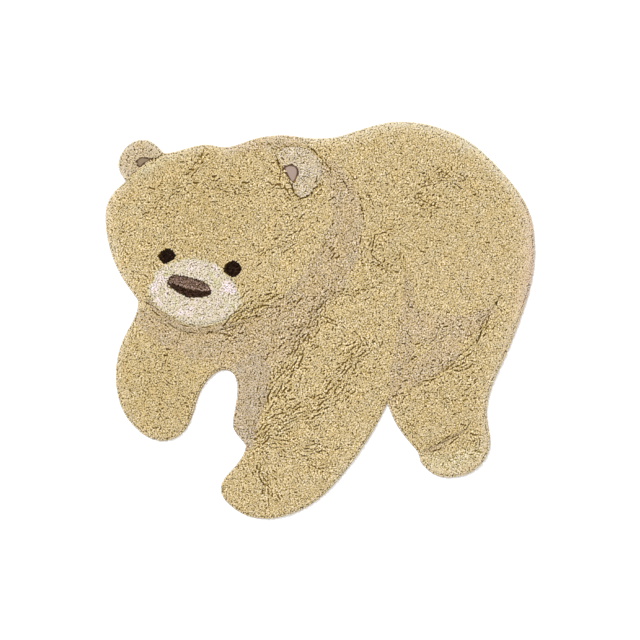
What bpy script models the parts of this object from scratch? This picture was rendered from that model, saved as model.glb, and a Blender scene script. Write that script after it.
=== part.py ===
# Bear shaped kids rug: one tufted cotton rug in the outline of a walking bear cub, lying flat.
#
# +X runs from the bear's head to its rump, +Y from its paws to its back and +Z up from the
# floor. The origin lies on the floor under the middle of the rug. Sizes are in metres and
# headings in degrees, with 0 along +X and 90 along +Y.
#
# Every line of the rug is a chain of stops. Between two stops it runs in one smooth bend that
# leaves the first stop in its heading and reaches the next one in that stop's heading.

import math
from collections import namedtuple

import bmesh
import bpy
import numpy as np
from mathutils import Vector
from mathutils.geometry import delaunay_2d_cdt, interpolate_bezier

# Driving sizes of the rug
RUG_LENGTH = 1.200
RUG_WIDTH = 1.110
PILE_TOP = 0.0160
POCKET_FLOOR = 0.0060
POCKET_DRAFT = 0.0015
PATCH_THICKNESS = 0.0016
PATCH_INSET = 0.0022
SEAT_GAP = 0.0003

# Spacing of the points that carry the surface, and how close together two of them may be
OUTLINE_STEP = 0.013
GROOVE_STEP = 0.014
PATCH_STEP = 0.006
LUMP_STEP = 0.024
GROOVE_CLEARANCE = 0.007
SHOULDER_CLEARANCE = 0.005
LUMP_CLEARANCE = 0.013
EDGE_CLEARANCE = 0.005
SAME_PLACE = 0.00005

HALF_LENGTH = RUG_LENGTH / 2
HALF_WIDTH = RUG_WIDTH / 2

# A stop on a line. A corner has a second heading, in which the line leaves it.
Stop = namedtuple("Stop", "place x y heading leaving", defaults=(None,))

# The rug's edge, clockwise from the foot of the left ear
OUTLINE = (
    Stop("left ear, low corner", -0.543, 0.388, 38, 124),
    Stop("left ear, side", -0.564, 0.434, 90),
    Stop("left ear, slope", -0.545, 0.480, 52),
    Stop("left ear, top", -0.494, 0.505, 0),
    Stop("left ear, high corner", -0.436, 0.466, -50, 3),
    Stop("brow", -0.316, 0.491, 0),
    Stop("brow dip", -0.255, 0.484, 12),
    Stop("forehead", -0.196, 0.503, 20),
    Stop("crown", -0.102, 0.517, 0),
    Stop("neck dip", -0.013, 0.508, 0),
    Stop("withers", 0.060, 0.516, 16),
    Stop("top of the back", 0.224, HALF_WIDTH, 0),
    Stop("rump, high", 0.388, 0.516, -26),
    Stop("rump, middle", 0.505, 0.419, -48),
    Stop("rump, low", 0.579, 0.316, -66),
    Stop("tail side", HALF_LENGTH, 0.191, -90),
    Stop("thigh, high", 0.567, 0.024, -110),
    Stop("thigh, low", 0.508, -0.124, -116),
    Stop("hock", 0.466, -0.260, -90),
    Stop("heel", 0.476, -0.341, -90),
    Stop("hind foot, back", 0.433, -0.419, -143),
    Stop("hind foot, sole", 0.358, -0.440, 180),
    Stop("hind foot, slope", 0.300, -0.418, 135),
    Stop("hind foot, toes", 0.278, -0.386, 90),
    Stop("ankle", 0.255, -0.347, 132),
    Stop("hind shin", 0.213, -0.291, 120),
    Stop("crotch", 0.188, -0.231, 108, -112),
    Stop("foreleg, back", 0.107, -0.374, -125),
    Stop("forepaw, back", 0.013, -0.486, -138),
    Stop("forepaw, sole", -0.152, -HALF_WIDTH, 180),
    Stop("forepaw, slope", -0.239, -0.527, 143),
    Stop("forepaw, toes", -0.278, -0.472, 90),
    Stop("forepaw, front", -0.232, -0.402, 53),
    Stop("far foot, corner", -0.207, -0.351, 85, 122),
    Stop("far foot", -0.244, -0.288, 86),
    Stop("far shin", -0.231, -0.194, 90),
    Stop("armpit", -0.263, -0.139, 180),
    Stop("left leg, inside", -0.322, -0.180, -125),
    Stop("left shin", -0.348, -0.241, -104),
    Stop("left shin, low", -0.366, -0.291, -116),
    Stop("left paw, sole", -0.439, -0.338, 180),
    Stop("left paw, toes", -0.525, -0.291, 133),
    Stop("left paw, side", -0.571, -0.155, 90),
    Stop("left shoulder", -0.544, -0.040, 63),
    Stop("chin, corner", -0.508, 0.054, 92, 125),
    Stop("cheek", -0.558, 0.127, 119),
    Stop("side of the head", -HALF_LENGTH, 0.291, 90),
    Stop("temple", -0.589, 0.338, 65),
)

# The cotton patches inside the ears, clockwise
PATCHES = {
    "left_ear_patch": (
        Stop("low tip", -0.504, 0.427, 120, 95),
        Stop("top", -0.496, 0.453, 40),
        Stop("high tip", -0.476, 0.447, -30, -150),
    ),
    "right_ear_patch": (
        Stop("outer tip", -0.098, 0.424, 125, 40),
        Stop("top", -0.080, 0.433, 0),
        Stop("inner side", -0.063, 0.412, -90),
        Stop("low tip", -0.074, 0.384, -120, 115),
    ),
}

# Lines carved into the pile: how deep and how wide each is, and its stops
Groove = namedtuple("Groove", "name depth width stops")
GROOVES = (
    Groove("chin, upper", 0.0060, 0.012, (
        Stop("left end", -0.497, 0.057, -28),
        Stop("lowest", -0.342, -0.014, 0),
        Stop("right end", -0.200, 0.036, 35),
    )),
    Groove("chin, lower", 0.0055, 0.012, (
        Stop("left end", -0.487, 0.023, -38),
        Stop("lowest", -0.333, -0.039, 0),
        Stop("below the cheek", -0.216, -0.006, 24),
        Stop("right end", -0.052, 0.100, 42),
    )),
    Groove("cheek", 0.0040, 0.012, (
        Stop("low end", -0.190, 0.022, 40),
        Stop("high end", -0.140, 0.070, 50),
    )),
    Groove("right ear, round", 0.0060, 0.012, (
        Stop("outer foot", -0.118, 0.451, 100),
        Stop("top", -0.065, 0.484, 0),
        Stop("side", 0.006, 0.416, -92),
        Stop("inner foot", -0.054, 0.340, 180),
    )),
    Groove("right ear, foot", 0.0060, 0.012, (
        Stop("inner foot", -0.054, 0.340, 150),
        Stop("below the patch", -0.077, 0.374, 98),
        Stop("above the patch", -0.102, 0.425, 128),
        Stop("outer foot", -0.118, 0.451, 105),
    )),
    Groove("left ear, foot", 0.0055, 0.012, (
        Stop("low end", -0.536, 0.395, 30),
        Stop("below the patch", -0.509, 0.421, 48),
        Stop("above the patch", -0.468, 0.447, 5),
        Stop("high end", -0.441, 0.464, 40),
    )),
    Groove("neck to back", 0.0045, 0.014, (
        Stop("at the neck dip", -0.050, 0.498, -35),
        Stop("behind the ear", 0.006, 0.456, -45),
        Stop("shoulder", 0.082, 0.370, -48),
        Stop("low end", 0.143, 0.316, -50),
    )),
    Groove("back to shoulder", 0.0030, 0.014, (
        Stop("high end", 0.160, 0.295, -53),
        Stop("middle", 0.233, 0.163, -75),
        Stop("low end", 0.241, 0.080, -90),
    )),
    Groove("neck fold", 0.0035, 0.014, (
        Stop("low end", -0.066, -0.040, 48),
        Stop("high end", 0.060, 0.135, 60),
    )),
    Groove("shoulder fold", 0.0030, 0.014, (
        Stop("low end", 0.042, 0.054, 38),
        Stop("high end", 0.205, 0.138, 18),
    )),
    Groove("thigh", 0.0050, 0.012, (
        Stop("high end", 0.497, 0.056, -100),
        Stop("upper bend", 0.459, -0.006, -98),
        Stop("side", 0.447, -0.038, -115),
        Stop("middle", 0.352, -0.129, -138),
        Stop("lower bend", 0.283, -0.180, -165),
        Stop("low end", 0.229, -0.228, -112),
    )),
    Groove("belly fold", 0.0035, 0.014, (
        Stop("high end", 0.356, -0.026, -150),
        Stop("middle", 0.305, -0.068, -138),
        Stop("low end", 0.241, -0.121, -140),
    )),
    Groove("foreleg to far leg", 0.0050, 0.014, (
        Stop("high end", -0.124, -0.132, -105),
        Stop("middle", -0.155, -0.235, -108),
        Stop("low end", -0.202, -0.335, -122),
    )),
    Groove("toes of the hind foot", 0.0045, 0.012, (
        Stop("left end", 0.290, -0.368, 35),
        Stop("right end", 0.405, -0.308, 38),
    )),
)

# The rim's rows, from the folded hem on the floor up to the edge of the pile.
# Height is a share of the pile's height there.
RimRow = namedtuple("RimRow", "name inset share")
RIM_ROWS = (
    RimRow("hem on the floor", 0.0030, 0.00),
    RimRow("widest", 0.0000, 0.40),
    RimRow("shoulder", 0.0028, 0.74),
    RimRow("edge of the pile", 0.0090, 0.94),
)

# Soft unevenness of the pile: waves that run across each other
Wave = namedtuple("Wave", "length heading height start")
WAVES = (
    Wave(0.310, 20, 0.0005, 40),
    Wave(0.190, 115, 0.0005, 130),
    Wave(0.120, 65, 0.0004, 250),
    Wave(0.085, 160, 0.0004, 310),
)

RUG_COLOUR = (0.578, 0.451, 0.227, 1.0)
PATCH_COLOUR = (0.479, 0.342, 0.296, 1.0)


def clear_scene():
    for thing in list(bpy.data.objects):
        bpy.data.objects.remove(thing)


def fabric(name, colour, roughness):
    """A matt cotton material."""
    material = bpy.data.materials.new(name)
    material.use_nodes = True
    shader = material.node_tree.nodes["Principled BSDF"]
    shader.inputs["Base Color"].default_value = colour
    shader.inputs["Roughness"].default_value = roughness
    shader.inputs["Metallic"].default_value = 0.0
    return material


def bend(start, end, step):
    """The points of one bend, without its last. Handles are as long as a circular arc's would be."""
    leave = math.radians(start.heading if start.leaving is None else start.leaving)
    arrive = math.radians(end.heading)
    first = Vector((start.x, start.y))
    last = Vector((end.x, end.y))
    chord = (last - first).length
    turn = math.remainder(arrive - leave, math.tau)
    handle = chord / (3 * math.cos(turn / 4) ** 2)
    out = first + handle * Vector((math.cos(leave), math.sin(leave)))
    back = last - handle * Vector((math.cos(arrive), math.sin(arrive)))
    pieces = max(2, round(chord / step))
    return [tuple(p) for p in interpolate_bezier(first, out, back, last, pieces + 1)][:-1]


def line_through(stops, step, closed=False):
    """A line's points as an array of rows x, y."""
    ends = list(stops[1:]) + [stops[0]] * closed
    points = [point for start, end in zip(stops, ends) for point in bend(start, end, step)]
    if not closed:
        points.append((stops[-1].x, stops[-1].y))
    return np.array(points)


def right_hand(points, closed):
    """Unit vectors to the right of a line. Round a clockwise loop they point inwards."""
    if closed:
        along = np.roll(points, -1, axis=0) - np.roll(points, 1, axis=0)
    else:
        along = np.gradient(points, axis=0)
    along /= np.linalg.norm(along, axis=1, keepdims=True)
    return np.stack([along[:, 1], -along[:, 0]], axis=1)


def inset(loop, distance):
    return loop + distance * right_hand(loop, closed=True)


def distance_to(line, points, closed=False):
    """How far each point is from a line's nearest stretch."""
    starts = line if closed else line[:-1]
    ends = np.roll(line, -1, axis=0) if closed else line[1:]
    along = ends - starts
    reach = points[:, None, :] - starts[None, :, :]
    share = (reach * along).sum(axis=2) / (along * along).sum(axis=1)
    nearest = reach - np.clip(share, 0, 1)[:, :, None] * along
    return np.sqrt((nearest * nearest).sum(axis=2)).min(axis=1)


def inside(loop, points):
    """True for the points that a loop surrounds: a ray along +X crosses it an odd number of times."""
    x0, y0 = loop.T
    x1, y1 = np.roll(loop, -1, axis=0).T
    x, y = points[:, :1], points[:, 1:]
    spans = (y0 > y) != (y1 > y)
    rise = np.where(y1 == y0, 1.0, y1 - y0)
    crosses = x < x0 + (y - y0) * (x1 - x0) / rise
    return (spans & crosses).sum(axis=1) % 2 == 1


def pile_height(points, groove_lines):
    """Height of the pile: its full height with soft lumps, less the deepest groove at the place."""
    x, y = points.T
    height = np.full(len(points), PILE_TOP)
    for wave in WAVES:
        heading = math.radians(wave.heading)
        along = x * math.cos(heading) + y * math.sin(heading)
        height += wave.height * np.sin(math.tau * along / wave.length + math.radians(wave.start))
    carved = np.zeros(len(points))
    for groove, line in zip(GROOVES, groove_lines):
        nearness = 1 - distance_to(line, points) / (groove.width / 2)
        carved = np.maximum(carved, groove.depth * np.clip(nearness, 0, 1))
    return height - carved


def hex_grid(pitch):
    """A grid of points in staggered rows over the whole rug."""
    row_gap = pitch * math.sqrt(3) / 2
    rows = []
    for number, y in enumerate(np.arange(-HALF_WIDTH, HALF_WIDTH, row_gap)):
        x = np.arange(-HALF_LENGTH, HALF_LENGTH, pitch) + pitch / 2 * (number % 2)
        rows.append(np.stack([x, np.full(len(x), y)], axis=1))
    return np.concatenate(rows)


def add_clear(kept, more, clearance):
    """Adds the points that stay clear of those kept so far and of each other."""
    for point in more:
        if np.linalg.norm(kept - point, axis=1).min() > clearance:
            kept = np.vstack([kept, point])
    return kept


def free_points(loops, groove_lines):
    """The points between the rim and the pockets: the grooves' first, then the lumps' between them."""
    fixed = np.vstack(loops)
    kept = fixed
    for line in groove_lines:
        kept = add_clear(kept, line, GROOVE_CLEARANCE)
    for groove, line in zip(GROOVES, groove_lines):
        aside = right_hand(line, closed=False) * groove.width / 2
        kept = add_clear(kept, line + aside, SHOULDER_CLEARANCE)
        kept = add_clear(kept, line - aside, SHOULDER_CLEARANCE)
    kept = add_clear(kept, hex_grid(LUMP_STEP), LUMP_CLEARANCE)
    free = kept[len(fixed):]
    pile_edge = loops[0]
    wanted = inside(pile_edge, free) & (distance_to(pile_edge, free, closed=True) > EDGE_CLEARANCE)
    for pocket in loops[1:]:
        wanted &= ~inside(pocket, free)
    return free[wanted]


def crease_edges(plan, line):
    """The edges along a groove's bottom, between those of its points that the plan holds."""
    gaps = np.linalg.norm(plan[None, :, :] - line[:, None, :], axis=2)
    number = gaps.argmin(axis=1)
    held = gaps.min(axis=1) < SAME_PLACE
    pairs = zip(number, number[1:], held, held[1:])
    return [(int(a), int(b)) for a, b, a_held, b_held in pairs if a_held and b_held]


def rows_to_mesh(name, verts, faces, material):
    """A closed mesh from points and faces, with shared points merged and its faces pointing out."""
    mesh = bpy.data.meshes.new(name)
    mesh.from_pydata(verts, [], faces)
    shape = bmesh.new()
    shape.from_mesh(mesh)
    bmesh.ops.remove_doubles(shape, verts=shape.verts, dist=SAME_PLACE)
    bmesh.ops.recalc_face_normals(shape, faces=shape.faces)
    shape.to_mesh(mesh)
    shape.free()
    mesh.materials.append(material)
    return bpy.data.objects.new(name, mesh)


def rim(outline, groove_lines):
    """The rounded rim as rings of points joined by faces, closed below by the flat hem face."""
    verts = []
    for row in RIM_ROWS:
        ring = inset(outline, row.inset)
        height = row.share * pile_height(ring, groove_lines)
        verts.extend(zip(*ring.T, height))
    count = len(outline)
    faces = [tuple(range(count))]
    for lower in range(0, count * (len(RIM_ROWS) - 1), count):
        upper = lower + count
        for i in range(count):
            j = (i + 1) % count
            faces.append((lower + i, lower + j, upper + j, upper + i))
    return verts, faces


def pile_surface(outline, groove_lines):
    """The pile's upper face inside the rim, filled between the rim, the pockets and the grooves."""
    pile_edge = inset(outline, RIM_ROWS[-1].inset)
    pocket_rims = [line_through(stops, PATCH_STEP, closed=True) for stops in PATCHES.values()]
    pocket_floors = [inset(pocket, POCKET_DRAFT) for pocket in pocket_rims]
    loops = [pile_edge, *pocket_rims, *pocket_floors]
    plan = np.vstack([*loops, free_points(loops, groove_lines)])
    edges = []
    first = 0
    for loop in loops:
        size = len(loop)
        edges.extend((first + i, first + (i + 1) % size) for i in range(size))
        first += size
    floor_end = first
    floor_start = first - sum(len(floor) for floor in pocket_floors)
    for line in groove_lines:
        edges.extend(crease_edges(plan, line))
    filled = delaunay_2d_cdt([Vector(point) for point in plan], edges, [], 0, SAME_PLACE / 10, True)
    spots = np.array([tuple(spot) for spot in filled[0]])
    height = pile_height(spots, groove_lines)
    for number, source in enumerate(filled[3]):
        if source and source[0] < len(pile_edge):
            height[number] *= RIM_ROWS[-1].share
        elif source and floor_start <= source[0] < floor_end:
            height[number] = POCKET_FLOOR
    triangles = np.array(filled[2])
    on_rug = inside(pile_edge, spots[triangles].mean(axis=1))
    return list(zip(*spots.T, height)), triangles[on_rug]


def make_rug(material):
    """The cotton ground and its pile as one lumpy slab, with a rounded rim and carved lines."""
    outline = line_through(OUTLINE, OUTLINE_STEP, closed=True)
    groove_lines = [line_through(groove.stops, GROOVE_STEP) for groove in GROOVES]
    verts, faces = rim(outline, groove_lines)
    spots, triangles = pile_surface(outline, groove_lines)
    faces.extend(tuple(triangle) for triangle in (triangles + len(verts)).tolist())
    verts.extend(spots)
    return rows_to_mesh("rug", verts, faces, material)


def make_patch(name, stops, material):
    """A flat cotton patch that lies in its pocket in the pile."""
    outline = inset(line_through(stops, PATCH_STEP, closed=True), PATCH_INSET)
    curve = bpy.data.curves.new(name, "CURVE")
    curve.dimensions = "2D"
    curve.fill_mode = "BOTH"
    curve.extrude = PATCH_THICKNESS / 2
    spline = curve.splines.new("POLY")
    spline.points.add(len(outline) - 1)
    for point, (x, y) in zip(spline.points, outline):
        point.co = (x, y, 0, 1)
    spline.use_cyclic_u = True
    curve.materials.append(material)
    patch = bpy.data.objects.new(name, curve)
    patch.location.z = POCKET_FLOOR + SEAT_GAP + PATCH_THICKNESS / 2
    return patch


def main():
    clear_scene()
    collection = bpy.data.collections.new("bear_rug")
    bpy.context.scene.collection.children.link(collection)
    collection.objects.link(make_rug(fabric("cotton_pile", RUG_COLOUR, 0.95)))
    patch_cotton = fabric("patch_cotton", PATCH_COLOUR, 0.90)
    for name, stops in PATCHES.items():
        collection.objects.link(make_patch(name, stops, patch_cotton))


main()
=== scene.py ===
# Looks of the bear shaped kids rug: a cotton ground that carries a tufted and carved pile.
# Every tuft of yarn is a short tube. Where it stands, how high it rises and how it parts along
# the carved lines is read from the frame's own rug. Sizes are in metres; the tables of places
# are in millimetres from the middle of the rug.

import math

import bmesh
import bpy
import numpy as np
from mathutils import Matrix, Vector
from mathutils.bvhtree import BVHTree


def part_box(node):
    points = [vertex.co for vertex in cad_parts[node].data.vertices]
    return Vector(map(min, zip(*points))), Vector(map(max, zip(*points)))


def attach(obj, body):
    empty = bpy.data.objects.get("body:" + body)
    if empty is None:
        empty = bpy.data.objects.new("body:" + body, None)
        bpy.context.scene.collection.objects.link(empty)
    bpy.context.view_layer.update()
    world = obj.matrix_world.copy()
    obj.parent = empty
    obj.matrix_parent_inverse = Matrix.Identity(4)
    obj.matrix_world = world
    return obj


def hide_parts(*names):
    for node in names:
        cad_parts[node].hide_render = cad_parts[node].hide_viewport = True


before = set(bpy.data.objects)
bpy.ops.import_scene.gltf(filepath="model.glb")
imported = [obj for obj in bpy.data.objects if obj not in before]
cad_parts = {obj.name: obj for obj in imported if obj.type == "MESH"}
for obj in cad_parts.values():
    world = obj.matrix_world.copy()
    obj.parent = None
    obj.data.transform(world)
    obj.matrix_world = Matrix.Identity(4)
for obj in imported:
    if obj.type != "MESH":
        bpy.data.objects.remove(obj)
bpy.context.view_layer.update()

print("stage: frame loaded")


def metres(rows):
    return np.array(rows) / 1000


def linear(colour):
    # sRGB bytes as linear light
    share = np.asarray(colour, float) / 255
    return np.where(share <= 0.04045, share / 12.92, ((share + 0.055) / 1.055) ** 2.4)


def softStep(depth, softness):
    return np.clip(depth / softness + 0.5, 0, 1)


def crosswise(ways):
    # Each way turned a quarter to the left
    return np.stack([-ways[:, 1], ways[:, 0]], axis=1)


def softNoise(points, size, rng, waves=16):
    # A sum of sine waves of random heading and start, each about as long as the size
    heading = rng.uniform(0, math.tau, waves)
    length = size * rng.uniform(0.7, 1.5, waves)
    start = rng.uniform(0, math.tau, waves)
    along = points @ np.stack([np.cos(heading), np.sin(heading)]) / length
    return np.sin(math.tau * along + start).sum(axis=1) / math.sqrt(waves / 2)


def nearestOn(starts, ends, points):
    # Distance from each point to the nearest segment, that segment's number and the way off it
    along = ends - starts
    lengths = (along * along).sum(axis=1)
    parts = []
    for block in np.array_split(points, 1 + len(points) // 2000):
        reach = block[:, None] - starts
        share = np.clip((reach * along).sum(axis=2) / lengths, 0, 1)
        gap = reach - share[..., None] * along
        far = np.sqrt((gap * gap).sum(axis=2))
        number = far.argmin(axis=1)
        row = np.arange(len(block))
        parts.append(np.column_stack([far[row, number], number, gap[row, number]]))
    found = np.concatenate(parts)
    return found[:, 0], found[:, 1].astype(int), found[:, 2:] / (found[:, :1] + 1e-9)


def nearestWithin(reach, tile, starts, ends, points):
    # The same tile by tile, with only the segments near a tile; past the reach nothing is told
    far, number = np.full(len(points), reach), np.zeros(len(points), int)
    away = np.zeros(points.shape)
    low, high = np.minimum(starts, ends) - reach, np.maximum(starts, ends) + reach
    tiles, members = np.unique(np.floor(points / tile).astype(int), axis=0, return_inverse=True)
    order = np.argsort(members.ravel(), kind="stable")
    counts = np.bincount(members.ravel())
    for corner, chosen in zip(tiles * tile, np.split(order, np.cumsum(counts)[:-1])):
        close = np.flatnonzero(np.all((low < corner + tile) & (high > corner), axis=1))
        if len(close):
            gap, which, way = nearestOn(starts[close], ends[close], points[chosen])
            near = gap < reach
            hit = chosen[near]
            far[hit], number[hit], away[hit] = gap[near], close[which[near]], way[near]
    return far, number, away


def loopSides(loop):
    # A closed loop's corners as segments
    return loop, np.roll(loop, -1, axis=0)


def insideLoop(loop, points):
    # A ray along +X leaves a loop an odd number of times
    (x0, y0), (x1, y1) = loop.T, np.roll(loop, -1, axis=0).T
    x, y = points[:, :1], points[:, 1:]
    spans = (y0 > y) != (y1 > y)
    rise = np.where(y1 == y0, 1.0, y1 - y0)
    return (spans & (x < x0 + (y - y0) * (x1 - x0) / rise)).sum(axis=1) % 2 == 1


def smoothLoop(stops, parts=5):
    # A closed curve through the stops: Catmull-Rom, each stretch in a few parts
    before, here, after, beyond = (np.roll(metres(stops), shift, axis=0)[:, None]
                                   for shift in (1, 0, -1, -2))
    t = (np.arange(parts) / parts)[None, :, None]
    bend = 2 * before - 5 * here + 4 * after - beyond
    turn = 3 * here - before - 3 * after + beyond
    curve = 0.5 * (2 * here + (after - before) * t + bend * t ** 2 + turn * t ** 3)
    return curve.reshape(-1, 2)


def depthInLoop(loop, points):
    # How far inside a loop each point lies; below nought outside it
    far = nearestOn(*loopSides(loop), points)[0]
    return np.where(insideLoop(loop, points), far, -far)


def depthInBand(stops, points):
    # How far inside a band each point lies. A band runs through stops of x, y and half width.
    stops = metres(stops)
    starts, along = stops[:-1, :2], np.diff(stops[:, :2], axis=0)
    reach = points[:, None] - starts
    share = np.clip((reach * along).sum(axis=2) / (along * along).sum(axis=1), 0, 1)
    gap = reach - share[..., None] * along
    half = stops[:-1, 2] + share * np.diff(stops[:, 2])
    return (half - np.sqrt((gap * gap).sum(axis=2))).max(axis=1)


def spotSum(spots, points):
    # Each spot's amount, which fades from its middle as a bell of its reach, all added up
    spots = np.array(spots) / (1000, 1000, 1000, 1)
    gap = points[:, None] - spots[:, :2]
    return np.exp(-(gap * gap).sum(axis=2) / (2 * spots[:, 2] ** 2)) @ spots[:, 3]


def addObject(name, data, material=None):
    # A mesh, lamp or camera as an object of the scene
    if material:
        data.materials.append(material)
    thing = bpy.data.objects.new(name, data)
    bpy.context.scene.collection.objects.link(thing)
    return thing


def paintPoints(mesh, name, colours):
    attribute = mesh.attributes.new(name, "FLOAT_COLOR", "POINT")
    attribute.data.foreach_set("color", colours.astype(np.float32).ravel())


def smoothFaces(mesh):
    mesh.polygons.foreach_set("use_smooth", np.ones(len(mesh.polygons), bool))


rugReading = {
    "cell": 0.003,  # grid on which the height of the pile is read
    "margin": 0.012,
    "above": 0.05,
    "sharpFold": math.radians(20),  # a carved line is an edge that folds in by more than this
    "lowestFold": 0.0075,
    "evenTop": 0.0155,  # half way up the frame's lumps
    "lumpInset": 0.012,
    "pocketRim": 0.005,
    "depthReach": 0.060,
    "tile": 0.05,
}


def mergedCopy(node):
    shape = bmesh.new()
    shape.from_mesh(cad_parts[node].data)
    bmesh.ops.remove_doubles(shape, verts=shape.verts, dist=0.00002)
    shape.normal_update()
    return shape


def ringUnder(shape):
    # The corners round the flat underside, in order
    under = [face for face in shape.faces if face.normal.z < -0.99]
    isUnder = set(under)
    following = {}
    for face in under:
        for loop in face.loops:
            if any(other not in isUnder for other in loop.edge.link_faces):
                following[loop.vert] = loop.link_loop_next.vert
    ring = [next(iter(following))]
    while following[ring[-1]] is not ring[0]:
        ring.append(following[ring[-1]])
    return ring


def plan(verts):
    return np.array([vert.co.xy for vert in verts])


def readRim(shape):
    # The outline is the ring next above the hem; each stop's way out leads from the hem to it
    hem = ringUnder(shape)
    isHem = set(hem)
    widest = []
    for vert in hem:
        near = [edge.other_vert(vert) for edge in vert.link_edges]
        upper = [other for other in near if other not in isHem and other.co.z > vert.co.z + 0.001]
        widest.append(min(upper, key=lambda other: (other.co.xy - vert.co.xy).length))
    outline = plan(widest)
    outward = outline - plan(hem)
    return outline, outward / np.linalg.norm(outward, axis=1, keepdims=True)


def readHeights(shape):
    # A ray straight down on each cell's corner
    tree = BVHTree.FromBMesh(shape)
    x, y = (np.arange(low - rugReading["margin"], high + rugReading["margin"], rugReading["cell"])
            for low, high in list(zip(*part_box("rug")))[:2])
    down = Vector((0, 0, -1))
    drops = [tree.ray_cast(Vector((px, py, rugReading["above"])), down)[0] for py in y for px in x]
    heights = np.array([0.0 if spot is None else spot.z for spot in drops])
    return (x[0], y[0]), heights.reshape(len(y), len(x))


def readCarving(shape):
    # The carved lines' segments
    folds = []
    for edge in shape.edges:
        low = min(vert.co.z for vert in edge.verts)
        if len(edge.link_faces) == 2 and low > rugReading["lowestFold"]:
            if edge.calc_face_angle_signed() < -rugReading["sharpFold"]:
                folds.append([vert.co.xy for vert in edge.verts])
    folds = np.array(folds)
    return folds[:, 0], folds[:, 1]


rugCopy = mergedCopy("rug")
outline, outward = readRim(rugCopy)
heightOrigin, heightGrid = readHeights(rugCopy)
carveStarts, carveEnds = readCarving(rugCopy)
rugCopy.free()
patchRings = {}
for node in ("left_ear_patch", "right_ear_patch"):
    patchCopy = mergedCopy(node)
    patchRings[node] = plan(ringUnder(patchCopy))
    patchCopy.free()
print(f"stage: rug read, {len(outline)} outline stops, {len(carveStarts)} carved segments")


def readGrid(grid, points, cell=rugReading["cell"]):
    # The grid's value at each point, read between the four cells round it
    limit = np.array(grid.shape)[::-1] - 1.001
    place = np.clip((points - heightOrigin) / cell, 0, limit)
    i, j = np.floor(place).astype(int).T
    u, v = (place - np.floor(place)).T
    low = grid[j, i] * (1 - u) + grid[j, i + 1] * u
    high = grid[j + 1, i] * (1 - u) + grid[j + 1, i + 1] * u
    return low * (1 - v) + high * v


def gridPlaces(shape, cell):
    # The place of every cell of a grid, row by row
    x, y = np.meshgrid(np.arange(shape[1]), np.arange(shape[0]))
    return heightOrigin + np.stack([x.ravel(), y.ravel()], axis=1) * cell


heightPlaces = gridPlaces(heightGrid.shape, rugReading["cell"])


def depthsInRug():
    # How far inside the outline each cell lies, as far as the reach; below nought outside it
    sides = loopSides(outline)
    far = nearestWithin(rugReading["depthReach"], rugReading["tile"], *sides, heightPlaces)[0]
    inside = [insideLoop(outline, block) for block in np.array_split(heightPlaces, 16)]
    return np.where(np.concatenate(inside), far, -far).reshape(heightGrid.shape)


depthGrid = depthsInRug()
for ring in patchRings.values():  # the pile stands round a patch as high as elsewhere
    pocket = depthInLoop(ring, heightPlaces).reshape(heightGrid.shape)
    heightGrid = np.where(pocket > -rugReading["pocketRim"], rugReading["evenTop"], heightGrid)
# The frame's lumps stand for the grain of the pile: only half of their height is left
heightGrid = np.where(depthGrid > rugReading["lumpInset"],
                      (heightGrid + rugReading["evenTop"]) / 2, heightGrid)


def pileTop(points):
    # Height of the frame's rug at each point
    return readGrid(heightGrid, points)


def depthInRug(points):
    return readGrid(depthGrid, points)


pileColours = {
    "gold": (185, 166, 127),
    "rose": (178, 159, 128),
    "farLeg": (175, 158, 133),
    "paleGold": (190, 175, 140),
    "leftEar": (180, 164, 138),
    "rightEar": (185, 171, 148),
    # the pale rim, partly painted light
    "edge": (198, 188, 166),
    "rimRose": (190, 171, 155),
    "chin": (168, 150, 122),
    "cream": (192, 181, 161),
    "creamWhite": (213, 199, 202),
    "creamGreen": (187, 180, 145),
    "darkBrown": (31, 19, 12),
    "noseLight": (116, 94, 82),
    # painted highlight along the nose's ridge
    "noseRidge": (146, 122, 108),
    "noseDark": (54, 37, 27),
    # painted shadow: the dark brown round an ear patch, where the pile overhangs the cloth
    "pileShadowBrown": (74, 52, 38),
    "canvas": (170, 154, 140),
    "mauve": (143, 124, 114),
    # painted shade: the left patch's mauve, darkened where the pile shades it
    "shadedMauve": (122, 105, 84),
}
linearColours = {name: linear(colour) for name, colour in pileColours.items()}

# Zones of another colour: its name, how soft the edge is, and stops of x, y and half width
bands = {
    "neck": ("rose", 12, (
        (28, 420, 26), (60, 365, 36), (82, 285, 42), (58, 195, 54), (10, 110, 56), (-50, 40, 52),
        (-140, -22, 50), (-235, -60, 48), (-345, -70, 42), (-440, -35, 32), (-500, 10, 22))),
    "chest": ("rose", 30, (
        (-300, -90, 30), (-200, -95, 45), (-120, -70, 45), (-40, -10, 35))),
    "farLeg": ("farLeg", 8, (
        (-185, -140, 48), (-190, -200, 44), (-202, -260, 38), (-212, -330, 34))),
    "bellyLeft": ("rose", 10, (
        (246, 110, 10), (246, 0, 24), (236, -80, 28), (220, -160, 26), (205, -220, 14))),
    "belly": ("rose", 10, (
        (275, -15, 42), (330, -30, 46), (380, -28, 40), (430, -2, 26), (480, 24, 14))),
    "groin": ("rose", 10, (
        (360, -85, 32), (310, -120, 34), (258, -160, 26))),
    "crown": ("rose", 12, (
        (-250, 476, 10), (-196, 484, 16), (-140, 494, 16), (-60, 500, 14))),
    "brow": ("paleGold", 10, (
        (-525, 392, 6), (-478, 426, 13), (-435, 445, 10), (-410, 452, 4))),
    "toes": ("paleGold", 20, (
        (310, -395, 20), (370, -400, 28), (430, -370, 20))),
    "toeFold": ("chin", 6, (
        (290, -366, 4), (318, -357, 6), (347, -341, 6), (380, -320, 5), (404, -306, 2))),
    "chin": ("chin", 10, (
        (-478, 52, 8), (-430, 4, 12), (-370, -24, 13), (-310, -28, 12), (-255, -12, 10))),
}
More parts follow.
